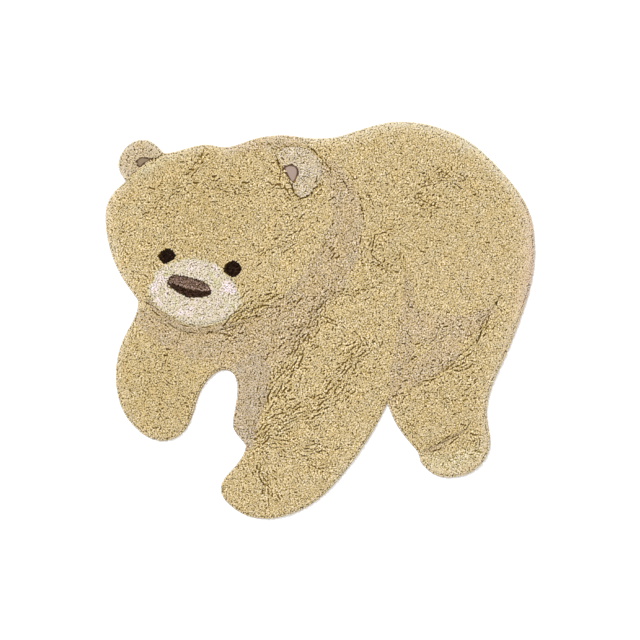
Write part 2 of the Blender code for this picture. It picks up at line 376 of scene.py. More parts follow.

# Paler along the rim, partly painted light where the pile slopes down to the rim, and rosier cotton
# in places: x, y, how pale it is there, how far it goes in and how rosy
rimLooks = np.array((
    (300, 540, 1, 22, 0), (150, 505, 0.9, 18, 0), (440, 480, 1, 22, 0), (530, 380, 1, 20, 0.1),
    (590, 250, 1, 28, 0.8), (590, 110, 1, 32, 1), (550, -50, 0.8, 22, 0.4),
    (470, -160, 0.7, 16, 0.2), (450, -330, 0.8, 20, 0.2), (370, -420, 0.6, 22, 0.2),
    (250, -320, 0.25, 8, 0), (110, -400, 0.5, 14, 0), (-20, -520, 0.35, 10, 0),
    (-200, -530, 0.15, 8, 0), (-220, -250, 0.35, 10, 0.6), (-420, -320, 0.3, 10, 0),
    (-550, -240, 0.45, 14, 0), (-580, -110, 0.5, 14, 0), (-490, 30, 0.55, 12, 0.2),
    (-590, 200, 0.7, 15, 0.1), (-570, 320, 0.8, 18, 0.3), (-550, 450, 0.75, 10, 0.2),
    (-460, 490, 0.7, 10, 0), (-370, 465, 0.95, 18, 0.1), (-200, 480, 0.85, 16, 0.3),
    (-60, 505, 0.75, 14, 0.2), (50, 490, 0.9, 18, 0),
)) / (1000, 1000, 1, 1000, 1)
rimLookReach = 0.06

earLoops = [metres(loop) for loop in (
    ((-548, 384), (-536, 395), (-509, 421), (-468, 447), (-441, 464), (-430, 480), (-460, 530),
     (-600, 530), (-600, 384)),
    ((-118, 451), (-115, 464), (-98, 479), (-65, 484), (-30, 475), (-5, 450), (6, 416), (2, 390),
     (-18, 364), (-36, 346), (-54, 340), (-66, 352), (-77, 374), (-85, 400), (-102, 425)),
)]
muzzleLoop = smoothLoop((
    (-481, 89), (-464, 110), (-458, 136), (-417, 157), (-375, 170), (-336, 170), (-290, 155),
    (-264, 127), (-236, 102), (-219, 51), (-234, 25), (-268, -3), (-322, -15), (-375, -11),
    (-417, 13), (-450, 36), (-466, 57)))
noseLoop = smoothLoop((
    (-425, 105), (-420, 116), (-407, 125), (-383, 123), (-358, 118), (-334, 111), (-315, 99),
    (-303, 84), (-306, 71), (-319, 66), (-341, 63), (-366, 63), (-392, 75), (-411, 88), (-421, 96)))
noseRidge = metres(((-412, 104), (-388, 96), (-366, 88), (-330, 83), (-306, 84)))
eyeLoops = [smoothLoop(stops) for stops in (
    ((-450, 177), (-441, 191), (-427, 199), (-413, 195), (-403, 182), (-409, 168), (-424, 161),
     (-433, 157), (-445, 166)),
    ((-269, 141), (-260, 156), (-246, 164), (-232, 162), (-221, 149), (-220, 138), (-230, 125),
     (-245, 120), (-258, 128)),
)]
markLoops = [noseLoop, *eyeLoops]

# Blotches of another cotton in the muzzle: x, y, reach, its colour and how much of it
muzzleBlotches = (
    (-463, 92, 14, "creamWhite", 0.9), (-455, 52, 10, "creamWhite", 0.7),
    (-360, 152, 20, "creamWhite", 0.35), (-290, 150, 12, "creamWhite", 0.6),
    (-254, 90, 16, "creamWhite", 1), (-362, 26, 12, "creamWhite", 0.7),
    (-388, 22, 8, "creamWhite", 0.7), (-440, 118, 14, "creamWhite", 0.6),
    (-425, 135, 12, "creamGreen", 0.9), (-378, 146, 8, "creamGreen", 0.7),
    (-287, 105, 12, "creamGreen", 0.9), (-300, 124, 10, "creamGreen", 0.6),
    (-250, 48, 16, "creamGreen", 0.7), (-405, 48, 12, "creamGreen", 0.6),
    (-352, 12, 8, "creamGreen", 0.5), (-442, 78, 10, "creamGreen", 0.4),
)

# Where the pile leaves a patch open, a little inside the patch's own edge
patchOpenings = {
    "left_ear_patch": smoothLoop((
        (-509.5, 443), (-503, 450), (-496, 453), (-485.8, 451.5), (-474.5, 447.8), (-487, 440.8),
        (-495, 435.2), (-500.5, 429), (-506.5, 430))),
    "right_ear_patch": smoothLoop((
        (-98.5, 425), (-90, 431), (-80, 432), (-69, 429), (-62.5, 418), (-64, 403), (-71, 387),
        (-77, 384.5), (-84, 394), (-92, 410))),
}

# Which way the pile lies: for each piece of it, places of x and y and the turn in degrees
flow = {
    "headPile": ((-475, 363, 25), (-335, 419, 15), (-196, 419, 5), (-335, 308, 10),
        (-530, 280, 170), (-447, 238, 40), (-196, 252, 15), (-536, 141, 120), (-335, 210, 5)),
    "cheekPile": ((-85, 294, 20), (-99, 168, 35), (-180, 110, 35), (-141, 486, 155)),
    "neckPile": ((-503, 7, 145), (-377, -54, 172), (-294, -68, 15), (-182, -21, 35), (-71, 29, 46),
        (40, 363, 40), (68, 266, 60), (40, 163, 50), (-141, -96, 40), (-29, -40, 47),
        (40, 461, 130)),
    "shoulderPile": ((124, 294, 55), (152, 196, 38), (138, 85, 25), (82, 1, 115), (193, -26, 100)),
    "forelegPile": ((-57, -124, 47), (68, -124, 25), (110, -207, 32), (-43, -235, 37),
        (-113, -305, 20), (40, -305, 25), (-127, -366, 150), (-43, -402, 165), (-219, -458, 70),
        (-163, -486, 105), (-1, -472, 165), (68, -361, 15)),
    "leftLegPile": ((-196, -221, 90), (-516, -82, 160), (-405, -110, 170), (-475, -193, 172),
        (-475, -305, 175), (-553, -193, 155)),
    "backPile": ((207, 489, 125), (333, 489, 80), (277, 391, 30), (207, 294, 25), (333, 308, 15),
        (305, 168, 5)),
    "rumpPile": ((472, 391, 170), (444, 252, 12), (541, 294, 55), (561, 163, 125), (472, 85, 20),
        (522, 1, 60)),
    "bellyPile": ((291, 57, 175), (333, -32, 20), (235, -68, 30), (430, 7, 30)),
    "hindLegPile": ((466, -68, 58), (394, -143, 38), (305, -207, 25), (402, -221, 8),
        (444, -277, 165), (347, -319, 20), (374, -394, 10)),
}
flowRows = np.concatenate(list(flow.values()))
flowPlaces, flowTurns = flowRows[:, :2] / 1000, np.radians(flowRows[:, 2])
flowPieces = np.repeat(list(flow), [len(rows) for rows in flow.values()])
flowReach = 0.045


def inEars(points):
    return np.any([insideLoop(loop, points) for loop in earLoops], axis=0)


def onFarLeg(points):
    return softStep(depthInBand(bands["farLeg"][2], points), 0.010)


def depthInMarks(points):
    # How far inside the nose or an eye each point lies
    return np.max([depthInLoop(loop, points) for loop in markLoops], axis=0)


def flowGrids():
    # A weighted mean of the doubled turns, so that 0 and 180 degrees agree
    parts = []
    for block in np.array_split(heightPlaces, 16):
        gap = block[:, None] - flowPlaces
        weight = np.exp(-(gap * gap).sum(axis=2) / (2 * flowReach ** 2)) + 1e-12
        mean = weight @ np.stack([np.cos(2 * flowTurns), np.sin(2 * flowTurns)], axis=1)
        parts.append(mean / np.linalg.norm(mean, axis=1, keepdims=True))
    doubled = np.concatenate(parts)
    return [doubled[:, axis].reshape(heightGrid.shape) for axis in (0, 1)]


doubledTurns = flowGrids()


def flowAt(points):
    # The way the pile lies at each point
    turn = np.arctan2(readGrid(doubledTurns[1], points), readGrid(doubledTurns[0], points)) / 2
    return np.stack([np.cos(turn), np.sin(turn)], axis=1)


# Furrows where the pile parts: how many lie side by side, how wide apart, how strong they are,
# how rough the pile is beside them, and their stops
partings = {
    "throat": (4, 11, 0.95, 0.8, ((4, 43), (-49, -52), (-68, -104), (-110, -166), (-127, -221))),
    "elbow": (4, 12, 0.95, 0.75, ((138, -68), (90, -107), (49, -180), (21, -216), (-60, -255),
        (-141, -299), (-185, -344))),
    "breast": (2, 10, 0.8, 0.55, ((54, -18), (-7, 15), (4, 57), (68, 77), (132, 77))),
    "withers": (2, 11, 0.8, 0.6, ((160, 230), (138, 180), (199, 135))),
    "whiskers": (5, 9, 0.95, 0.75, ((-246, -21), (-213, 18), (-168, 43), (-113, 60))),
    "cheek": (2, 9, 0.6, 0.5, ((-57, 296), (-74, 224), (-146, 199))),
    "temple": (2, 10, 0.6, 0.4, ((4, 246), (15, 191))),
    "under the ear": (2, 8, 1.2, 0.9, ((-52, 342), (-26, 356), (-1, 376))),
    "before the ear": (2, 9, 0.9, 0.7, ((-124, 475), (-106, 413), (-111, 374), (-83, 341))),
    "back": (3, 10, 0.75, 0.5, ((385, 385), (340, 402), (305, 385))),
    "loin": (3, 10, 0.75, 0.45, ((270, 335), (300, 318), (345, 322))),
    "belly": (3, 10, 0.6, 0.3, ((244, -121), (305, -68), (366, -21))),
    "thigh": (2, 9, 1, 0.7, ((410, -128), (372, -140))),
    "flank": (2, 8, 0.8, 0.5, ((464, 13), (455, -26))),
    "groin": (2, 9, 0.6, 0.5, ((232, -210), (227, -238))),
    "shin": (3, 11, 0.45, 0.4, ((310, -199), (366, -213), (410, -190))),
    "hock": (2, 10, 0.7, 0.5, ((436, -325), (441, -362))),
    "forepaw": (3, 9, 0.9, 0.6, ((-160, -390), (-157, -430), (-143, -489))),
    "foot": (3, 12, 0.65, 0.35, ((-163, -333), (-99, -349), (-43, -366), (5, -358))),
    "sole": (2, 10, 0.65, 0.3, ((-55, -385), (-5, -412), (30, -400))),
    "left leg": (2, 12, 0.6, 0.35, ((-433, -99), (-438, -166), (-380, -213))),
    "brow": (2, 10, 0.7, 0.45, ((-475, 302), (-452, 330), (-391, 363))),
    "crown": (2, 9, 0.8, 0.55, ((-327, 461), (-358, 402))),
    "forehead": (3, 11, 0.6, 0.4, ((-296, 380), (-207, 358))),
    "neck": (4, 14, 0.5, 0.1, ((-240, -60), (-150, -10), (-60, 62))),
    "left ear slit": (1, 0, 1.15, 0.3, ((-476, 448.2), (-457, 448.8), (-447, 456), (-436, 466.5))),
    "right ear, front": (1, 0, 1.15, 0.3, ((-118, 451), (-114.5, 437), (-112.5, 429), (-101, 422))),
    "right ear, foot": (1, 0, 1.15, 0.3, ((-77, 384), (-78, 372), (-71, 351), (-62, 345))),
    "nape": (1, 0, 1.05, 0.3, ((-34, 485), (-16.5, 472), (0, 456), (13, 441), (31, 419))),
    "neck's edge": (1, 0, 0.8, 0.3, ((31, 419), (60, 397), (83, 360), (110, 332), (122, 300),
        (122, 262), (112, 215))),
    "shoulder": (1, 0, 0.6, 0.1, ((52, 450), (104, 383), (135, 347), (174, 283), (207, 224),
        (230, 160))),
    "thigh's edge": (1, 0, 0.99, 0.3, ((494, 52), (478, 26), (466, -6), (452, -34), (436, -68),
        (423, -92), (397, -110), (366, -127), (344, -144), (327, -160), (305, -171), (283, -166))),
    "toes, above": (1, 0, 0.75, 0, ((288, -361), (316, -354), (347, -333), (377, -312),
        (408, -305))),
    "toes, below": (1, 0, 0.9, 0, ((291, -372), (333, -361), (366, -344), (391, -322))),
    "heel": (1, 0, 0.6, 0.2, ((225, -230), (245, -290), (285, -350))),
    "by the left eye": (1, 0, 0.4, 0.2, ((-448, 174), (-463, 158), (-466, 136), (-478, 114))),
    "under the muzzle": (1, 0, 0.7, 0, ((-420, 0), (-372, -18), (-322, -21), (-270, -10))),
    "under the chin": (1, 0, 0.75, 0, ((-480, 40), (-440, 4), (-396, -28), (-330, -40), (-262, -34),
        (-200, -8))),
}
partingShape = {
    "step": 0.006,
    "wobble": 0.003,  # a furrow that lies alone keeps to its stops
    "raggedEnd": 0.020,
    "swayPace": (60, 140),  # turns a metre, in radians
    "comesPace": (60, 120),
    "comesMean": 0.80,  # a furrow comes and goes along its length
    "comesSwing": 0.60,
    "comesMost": 1.1,
    "comesLeast": (0.8, 0.4),  # of a strong line that lies alone and of a faint one
    "roughReach": 0.012,
}

# A carved line shows faintly, and strongly only round these spots: x, y, reach and how much
carvedSpots = (
    (-76, 365, 15, 0.6), (-50, 345, 18, 0.6), (50, 400, 30, 0.4), (-470, 450, 20, 0.4),
    (-450, 58, 30, 0.5), (-260, -10, 40, 0.4), (500, 40, 30, 0.6), (460, -30, 30, 0.6),
    (400, -100, 40, 0.6), (380, -310, 50, 0.5),
)
carvedFaint, carvedUneven = 0.35, (0.4, 1.2)

# Slow drifts of tone, partly painted shade and light that evens out how the key light falls across
# the rug: x, y, reach and how much lighter
toneDrifts = (
    (-330, 330, 120, -0.08), (-450, -190, 90, -0.07), (380, -280, 90, -0.025), (330, -30, 60, 0.06),
    (180, 200, 80, -0.03), (340, 300, 110, -0.03),
)

# Calmer places of the pile: x, y, reach and how much calmer
calmSpots = (
    (-470, -200, 100, 0.16), (-380, -80, 80, 0.18), (-515, 405, 30, 0.45), (-455, 440, 30, 0.45),
    (520, 150, 90, 0.15), (100, -150, 30, 0.2), (440, 320, 70, 0.1),
)

dashing = {
    "pitch": 0.0068,  # between the places where a furrow may be
    "jitter": 0.35,
    "evenShare": 0.045,  # the chance of a furrow away from every rough spot
    "spotShare": 0.32,
    "muzzleShare": 0.10,
    "earShare": 0.04,
    "rimCalm": 0.8,
    "farLegCalm": 0.75,
    "length": 0.0024,  # the longer ones are rarer
    "spotLength": 0.0050,
    "shortest": 0.001,
    "longest": 0.018,
    "turnSpread": 0.30,
    "strengths": (0.50, 1.0),
    "spotStrength": 0.35,
    "strongest": 1.15,
}
grain = {
    "cell": 0.0015,
    "fine": 1,  # times that the noise is blurred, and the blurred noise taken off it
    "coarse": 6,
    "drag": 0.0020,  # to each side along the lie of the pile
    "relief": 0.0001,  # how far the grain lifts the tufts
    # the grain's tone is partly painted light and shade of the pile's texture; its dark side is the
    # painted shade of the pits between tufts
    "tone": 0.09,
    "darker": 0.15,  # how far the dark side of the grain goes beyond the light side
    "loose": 0.03,
    "spotted": 0.30,
    "rimCalm": 0.85,
    "farLegCalm": 0.3,
    "slow": 0.20,  # a slow unevenness of the grain, and its size
    "slowSize": 0.050,
    "earShare": 0.75,
    # painted shade along the furrows and carved lines, where the parted pile lies in shade
    "furrowPaintedShade": 0.24,
}
grainShape = tuple(round(cells * rugReading["cell"] / grain["cell"]) for cells in heightGrid.shape)


def spotted(points):
    # How near each point is to a bundle of furrows, from the middle of the bundle outwards
    rough = np.zeros(len(points))
    for count, spread, strength, roughest, stops in partings.values():
        stops = metres(stops)
        far = nearestOn(stops[:-1], stops[1:], points)[0]
        reach = partingShape["roughReach"] + spread / 1000 * count / 2
        rough = np.maximum(rough, roughest * np.exp(-(far / reach) ** 2 / 2))
    return rough


def rimPaleness(points):
    # The looks of the nearest places along the rim; the paleness fades inwards
    gap = points[:, None] - rimLooks[:, :2]
    weight = np.exp(-(gap * gap).sum(axis=2) / (2 * rimLookReach ** 2)) + 1e-12
    pale, reach, rosy = (weight @ rimLooks[:, 2:] / weight.sum(axis=1, keepdims=True)).T
    return pale * np.exp(-(np.clip(depthInRug(points), 0, None) / reach) ** 1.5), rosy


def roughness(points):
    # An even share, more by the furrows, less by the rim, in the muzzle and on the far leg
    rough = dashing["evenShare"] * (1 - 2 * spotSum(calmSpots, points)).clip(0, 1)
    rough += dashing["spotShare"] * spotted(points)
    rough = np.where(insideLoop(muzzleLoop, points), dashing["muzzleShare"], rough)
    rough = np.where(inEars(points), dashing["earShare"], rough)
    rough *= 1 - dashing["rimCalm"] * rimPaleness(points)[0]
    return rough * (1 - dashing["farLegCalm"] * onFarLeg(points))


def grainShare(points):
    # The grain is stronger by the furrows, softer along the rim, on the far leg and in the ears
    share = 1 + grain["spotted"] * spotted(points)
    share *= 1 - grain["rimCalm"] * rimPaleness(points)[0]
    share *= 1 - grain["farLegCalm"] * onFarLeg(points)
    slow = softNoise(points, grain["slowSize"], np.random.default_rng(3)).clip(-1.5, 1.5)
    share *= 1 - spotSum(calmSpots, points) - grain["slow"] * slow
    return share * np.where(inEars(points), grain["earShare"], 1)


def partingLines(rng):
    # Each furrow of a bundle is a chain of short segments that sways, and comes and goes
    starts, ends, strengths = [], [], []
    for count, spread, strength, roughest, stops in partings.values():
        stops = metres(stops)
        ways = np.diff(stops, axis=0)
        lengths = np.linalg.norm(ways, axis=1)
        place = np.concatenate([[0], np.cumsum(lengths)])
        least = 0 if count > 1 else partingShape["comesLeast"][strength < 1]
        for number in range(count):
            ragged = min(partingShape["raggedEnd"], place[-1] / 4)
            pull = rng.uniform(-1, 1, 2) * ragged * (count > 1)
            size = max(3, round(place[-1] / partingShape["step"]))
            steps = np.linspace(pull[0], place[-1] + pull[1], size)
            leg = np.clip(np.searchsorted(place, steps) - 1, 0, len(ways) - 1)
            heading = (ways / lengths[:, None])[leg]
            line = stops[leg] + heading * (steps - place[leg])[:, None]
            pace, begin = rng.uniform(*partingShape["swayPace"]), rng.uniform(0, math.tau)
            sway = partingShape["wobble"] * np.sin(steps * pace + begin) * (count > 1)
            aside = (number - (count - 1) / 2) * (spread / 1000) + sway
            line += crosswise(heading) * aside[:, None]
            starts.append(line[:-1])
            ends.append(line[1:])
            pace, begin = rng.uniform(*partingShape["comesPace"]), rng.uniform(0, math.tau)
            comes = partingShape["comesSwing"] * np.sin(steps[1:] * pace + begin)
            comes += partingShape["comesMean"]
            here = strength * np.clip(comes, least, partingShape["comesMost"])
            strengths.append(np.where(inEars(line[1:]) & (count > 1), 0, here))
    return np.concatenate(starts), np.concatenate(ends), np.concatenate(strengths)


def hexGrid(pitch, rng, jitter):
    # Rows of points, each row half a pitch aside, shaken by a share of the pitch
    low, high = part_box("rug")
    rowGap = pitch * math.sqrt(3) / 2
    x, y = np.meshgrid(np.arange(low.x, high.x, pitch), np.arange(low.y, high.y, rowGap))
    x = x + pitch / 2 * (np.arange(len(x)) % 2)[:, None]
    points = np.stack([x.ravel(), y.ravel()], axis=1)
    return points + rng.normal(0, pitch * jitter, points.shape).clip(-pitch / 2, pitch / 2)


def dashLines(rng):
    # Short furrows strewn over the rug along the lie of the pile, the more the rougher it is
    spots = hexGrid(dashing["pitch"], rng, dashing["jitter"])
    chance = rng.uniform(0, 1, len(spots))
    spots = spots[(depthInRug(spots) > 0) & (chance < roughness(spots))]
    way = flowAt(spots)
    turn = rng.normal(0, dashing["turnSpread"], (len(spots), 1))
    way = way * np.cos(turn) + crosswise(way) * np.sin(turn)
    rough = spotted(spots)
    length = rng.exponential(dashing["length"] + rough * dashing["spotLength"])
    half = way * length.clip(dashing["shortest"], dashing["longest"])[:, None] / 2
    strengths = rng.uniform(*dashing["strengths"], len(spots)) + rough * dashing["spotStrength"]
    return spots - half, spots + half, np.minimum(strengths, dashing["strongest"])


def carvedLines(rng):
    strengths = np.clip(carvedFaint + spotSum(carvedSpots, carveStarts), 0, 1)
    strengths *= rng.uniform(*carvedUneven, len(carveStarts))
    return carveStarts, carveEnds, strengths


tufting = {
    "pitch": 0.0042,  # between the tufts of the body and of the muzzle
    "markPitch": 0.0036,
    "jitter": 0.15,  # share of the pitch
    "rimPitch": 0.0036,
    "rimInset": 0.0048,
    "bodyInset": 0.0072,
    "markClear": 0.0012,
    "patchClear": 0.0026,
    "pocketTop": 0.0088,  # the frame's rug is lower than this only in a patch's pocket
    "rimFoot": 0.0014,  # height of the rim tufts' feet in the ground
    "sunk": 0.0012,  # how far the other tufts' feet stand in the bed
    "lean": 0.0010,
    "leanCross": 0.0004,
    "leanLoose": 0.0005,
    "clumpSize": 0.030,
    "clumpTurn": 1.7,  # how suddenly the lean turns between two clumps
    "crossSize": 0.024,
    "partReach": 0.0054,  # how far a furrow or a carved line turns the tufts beside it
    "partPush": 0.0002,
    "partStand": 0.0041,  # how far off it their feet keep
    "partStraight": 0.9,  # how much of its own lean a tuft loses there
    "partDrop": 0.0008,
    "uneven": (-0.0004, 0.0003),  # of the heights: its mean and spread, and how far it goes
    "unevenEnds": (-0.002, 0.0006),
    "inTop": 0.4,  # how far a tuft's end lies under the top of the pile, in half thicknesses
    "rimCalm": 1.3,  # how calm the pale cotton along the rim is
    "rimEven": 0.7,  # how much evener it is
    "rimFuller": 0.15,  # and how much thicker its yarn
}
# How a tuft lies: its lean, how near a mark it stands up and how far it does, half of the
# yarn's thickness and how strong the grain is
bodyLie = {"comb": 1.0, "besideMark": 0.012, "upright": 0.12, "yarn": 0.0030, "grain": 1.0}
muzzleLie = {"comb": 0.6, "besideMark": 0.010, "upright": 0.15, "yarn": 0.0030, "grain": 0.45}
markLie = {"loose": 0.0009, "yarn": 0.0024}
rimLie = {
    "leanOut": (0.0004, 0.0018),
    "leanAside": 0.0022,
    "heights": (0.0105, 0.0130),
    "uneven": 0.0006,
    "yarn": 0.0030,
}
muzzleEdge = {"size": 0.009, "sway": 0.0016}


def depthInMuzzle(points):
    # The muzzle's edge is ragged by half a tuft or so
    shake = np.random.default_rng(5)
    sway = [softNoise(points, muzzleEdge["size"], shake) for axis in (0, 1)]
    return depthInLoop(muzzleLoop, points + np.stack(sway, axis=1) * muzzleEdge["sway"])


def standingFree(points):
    # Only the points off the rim, the pockets and the marks
    deep = depthInRug(points) > tufting["bodyInset"]
    onPile = [depthInLoop(loop, points) < -tufting["patchClear"] for loop in patchOpenings.values()]
    return points[deep & np.all(onPile, axis=0) & (depthInMarks(points) < -tufting["markClear"])]


def plantBody(rng):
    # The body's and the muzzle's tufts stand on two grids that meet at the muzzle's edge
    body, muzzle = (hexGrid(tufting["pitch"], rng, tufting["jitter"]) for piece in (0, 1))
    body = standingFree(body)
    return body[depthInMuzzle(body) < 0], standingFree(muzzle[depthInMuzzle(muzzle) > 0])


def plantMarks(rng):
    grid = hexGrid(tufting["markPitch"], rng, tufting["jitter"])
    return grid[depthInMarks(grid) > tufting["markClear"]]


def plantRim(rng):
    # Even steps along the outline, a little inside it
    lengths = np.linalg.norm(np.roll(outline, -1, axis=0) - outline, axis=1)
    place = np.concatenate([[0], np.cumsum(lengths)])
    steps = np.arange(0, place[-1], tufting["rimPitch"])
    steps += rng.uniform(-0.2, 0.2, len(steps)) * tufting["rimPitch"]
    spot, out = (np.stack([np.interp(steps, place, np.append(row, row[0])) for row in rows.T],
                          axis=1) for rows in (outline, outward))
    out /= np.linalg.norm(out, axis=1, keepdims=True)
    return spot - out * tufting["rimInset"], out


def blurred(grid, times):
    # Each cell mixed with its neighbours, a quarter from each side
    for turn in range(times):
        for axis in (0, 1):
            grid = (np.roll(grid, 1, axis) + 2 * grid + np.roll(grid, -1, axis)) / 4
    return grid


def combedGrain(rng):
    # Fine noise less coarse noise, dragged along the lie of the pile, scaled to an even spread
    noise = rng.normal(0, 1, grainShape)
    band = blurred(noise, grain["fine"]) - blurred(noise, grain["coarse"])
    places = gridPlaces(grainShape, grain["cell"])
    along = flowAt(places) * grain["drag"]
    drawn = sum(readGrid(band, places + along * step, grain["cell"]) for step in (-1, 0, 1))
    drawn /= drawn.std()
    # the dark side goes further than the light side: the painted shade of the pits
    return (drawn - grain["darker"] * (drawn ** 2 - 1)).reshape(grainShape)


def drawnFurrows(starts, ends, strengths):
    # Each furrow as a row of dots, blurred to the width of a line: a map of the painted shade along
    # the furrows
    counts = np.ceil(np.linalg.norm(ends - starts, axis=1) / grain["cell"]).astype(int) + 1
    line = np.repeat(np.arange(len(starts)), counts)
    place = np.arange(len(line)) - np.repeat(np.cumsum(counts) - counts, counts)
    share = (place / (counts[line] - 0.5))[:, None]
    dots = starts[line] * (1 - share) + ends[line] * share - heightOrigin
    dots = np.rint(dots / grain["cell"]).astype(int)
    drawn = np.zeros(grainShape)
    cells = np.clip(dots, 0, np.array(grainShape)[::-1] - 1).T[::-1]
    np.maximum.at(drawn, tuple(cells), strengths[line])
    return 2 * blurred(drawn, 1)


tuftRng = np.random.default_rng(11)
grainGrid = combedGrain(tuftRng)
furrows = [np.concatenate(parts) for parts in zip(
    partingLines(tuftRng), dashLines(tuftRng), carvedLines(tuftRng))]
furrowShadeGrid = drawnFurrows(*furrows)
bodyRoots, muzzleRoots = plantBody(tuftRng)
markRoots = plantMarks(tuftRng)
rimRoots, rimOut = plantRim(tuftRng)
print(f"stage: {len(furrows[0])} furrows, {len(bodyRoots)} body tufts")


def combed(points, rng):
    # The pile lies along the flow, to and fro in clumps, with a loose share for each tuft
    along = flowAt(points)
    toFro = np.tanh(tufting["clumpTurn"] * softNoise(points, tufting["clumpSize"], rng))[:, None]
    sway = softNoise(points, tufting["crossSize"], rng)[:, None]
    lean = along * toFro * tufting["lean"] + crosswise(along) * sway * tufting["leanCross"]
    return lean + rng.normal(0, tufting["leanLoose"], points.shape)


def partedBy(points, lean, starts, ends, strengths):
    # Beside a line the tufts lean away from it, and their feet keep a small distance off it
    reach = tufting["partReach"]
    far, number, away = nearestWithin(reach, rugReading["tile"], starts, ends, points)
    strength = strengths[number]
    near = np.clip((1 - far / reach) * strength, 0, 1)[:, None]
    lean = lean * (1 - tufting["partStraight"] * near) + away * near * tufting["partPush"]
    shift = np.clip(tufting["partStand"] * strength - far, 0, None)
    return points + away * shift[:, None], lean, near[:, 0]


def groomedTufts(roots, lean, yarn, rng, rough=1.0):
    # Roots, leans, heights and tones after the furrows have turned the tufts
    roots, lean, parted = partedBy(roots, lean, *furrows)
    rough = rough * grainShare(roots)
    calmed = np.clip(tufting["rimCalm"] * rimPaleness(roots)[0], 0, 1)
    uneven = rng.normal(*tufting["uneven"], len(roots)).clip(*tufting["unevenEnds"])
    height = pileTop(roots + lean) - yarn * tufting["inTop"]
    height += uneven * (1 - tufting["rimEven"] * calmed)
    height += readGrid(grainGrid, roots, grain["cell"]) * rough * grain["relief"]
    return {
        "root": roots,
        "lean": lean,
        "height": height - parted * tufting["partDrop"],
        "yarn": yarn * (1 + tufting["rimFuller"] * calmed),
        "tone": np.exp(rng.normal(0, grain["loose"], len(roots)) * rough),
        "parted": parted,
        "rough": rough,
        "foot": calmed,
    }


def makeLying(roots, lie, rng):
    # Beside an eye or the nose the tufts stand up straight
    lean = combed(roots, rng) * lie["comb"]
    lean *= np.clip(-depthInMarks(roots) / lie["besideMark"], lie["upright"], 1)[:, None]
    return groomedTufts(roots, lean, lie["yarn"], rng, lie["grain"])


def makeMarks(rng):
    lean = rng.normal(0, markLie["loose"], markRoots.shape)
    return groomedTufts(markRoots, lean, markLie["yarn"], rng)


def makeRim(rng):
    # The tufts of the rim lean out and to the sides, with their feet in the ground
    count = len(rimRoots)
    lean = rimOut * rng.uniform(*rimLie["leanOut"], (count, 1))
    lean += crosswise(rimOut) * rng.normal(0, rimLie["leanAside"], (count, 1))
    tufts = groomedTufts(rimRoots, lean, rimLie["yarn"], rng)
    uneven = rng.normal(0, rimLie["uneven"], count)
    tufts["height"] = np.clip(tufts["height"], *rimLie["heights"]) + uneven
    tufts["foot"] = np.ones(count)
    return tufts


def mixed(colours, name, weight):
    return colours + weight[:, None] * (linearColours[name] - colours)


def toned(colours, tone):
    # Darker tones, of the cotton and of its painted shade, are also fuller in colour: green and blue
    # fall faster than red
    tone = tone[..., None]
    darker = np.minimum(tone, 1) ** np.array([0, 0.15, 0.9])
    return colours * tone ** np.array([1, 1.12, 1.4]) * darker


cottonTone = {
    "warmSize": 0.070,
    "warm": 0.016,
    "warmLoose": 0.018,  # from tuft to tuft
    "driftSize": 0.045,
    "drift": 0.020,
    "earEdge": 0.003,
    "muzzleGreen": 0.35,  # in the last gold tufts before the muzzle
    "muzzleGreenReach": 0.006,
}
muzzleTone = {
    "swaySize": 0.020,
    "sway": 0.003,
    "whiteSize": 0.022,
    "white": 0.5,
    "green": 0.5,
    "greenReach": 0.008,
}
noseTone = {
    "upperInset": 0.0035,
    # the painted highlight along the ridge: how far inside the nose, how wide, how far above the
    # ridge line and how strong
    "ridgeInset": 0.004,
    "ridgeWidth": 0.0030,
    "ridgeRise": 0.002,
    "ridge": 0.8,
    "streakSize": 0.0045,
    "streak": 0.26,
    "streakLoose": 0.20,
    "eyeFlecks": (0.10, 0.30),  # the chance of a light fleck in the left eye and in the right
    "fleck": 0.9,
    "eyeLoose": 0.10,
}


def pileColour(points, rng):
    # Gold, then each zone over it, then the ears and the paler rim, with soft drifts of tone; the
    # paler rim and the drifts are partly painted light and shade
    colours = np.tile(linearColours["gold"], (len(points), 1))
    for name, softness, stops in bands.values():
        colours = mixed(colours, name, softStep(depthInBand(stops, points), softness / 1000))
    for name, loop in zip(("leftEar", "rightEar"), earLoops):
        inEar = softStep(depthInLoop(loop, points), cottonTone["earEdge"])
        colours = mixed(colours, name, inEar)
    # the pale rim, partly painted light, with rosier cotton in places
    pale, rosy = rimPaleness(points)
    colours = mixed(mixed(colours, "edge", pale * (1 - rosy)), "rimRose", pale * rosy)
    byMuzzle = np.clip(1 + depthInLoop(muzzleLoop, points) / cottonTone["muzzleGreenReach"], 0, 1)
    colours = mixed(colours, "creamGreen", byMuzzle * cottonTone["muzzleGreen"])
    warm = softNoise(points, cottonTone["warmSize"], rng) * cottonTone["warm"]
    warm += rng.normal(0, cottonTone["warmLoose"], len(points))
    tint = np.stack([1 + warm * 0.6, np.ones_like(warm), 1 - warm * 1.6], axis=1)
    drift = softNoise(points, cottonTone["driftSize"], rng) * cottonTone["drift"]
    # the listed drifts are partly painted shade and light; the noise drift is the cotton's own
    return toned(colours * tint, np.exp(spotSum(toneDrifts, points) + drift))


def muzzleColour(points, rng):
    # Cream with whiter and greener blotches, and greener along the edge
    colours = np.tile(linearColours["cream"], (len(points), 1))
    sway = [softNoise(points, muzzleTone["swaySize"], rng) for axis in (0, 1)]
    sway = np.stack(sway, axis=1) * muzzleTone["sway"]
    for x, y, reach, name, much in muzzleBlotches:
        far = np.linalg.norm(points + sway - metres((x, y)), axis=1)
        colours = mixed(colours, name, much * softStep(reach / 1000 - far, reach / 1000))
    white = softStep(softNoise(points, muzzleTone["whiteSize"], rng) - 1.0, 0.6)
    colours = mixed(colours, "creamWhite", white * muzzleTone["white"])
    edge = np.clip(1 - depthInLoop(muzzleLoop, points) / muzzleTone["greenReach"], 0, 1)
    return mixed(colours, "creamGreen", edge * muzzleTone["green"])


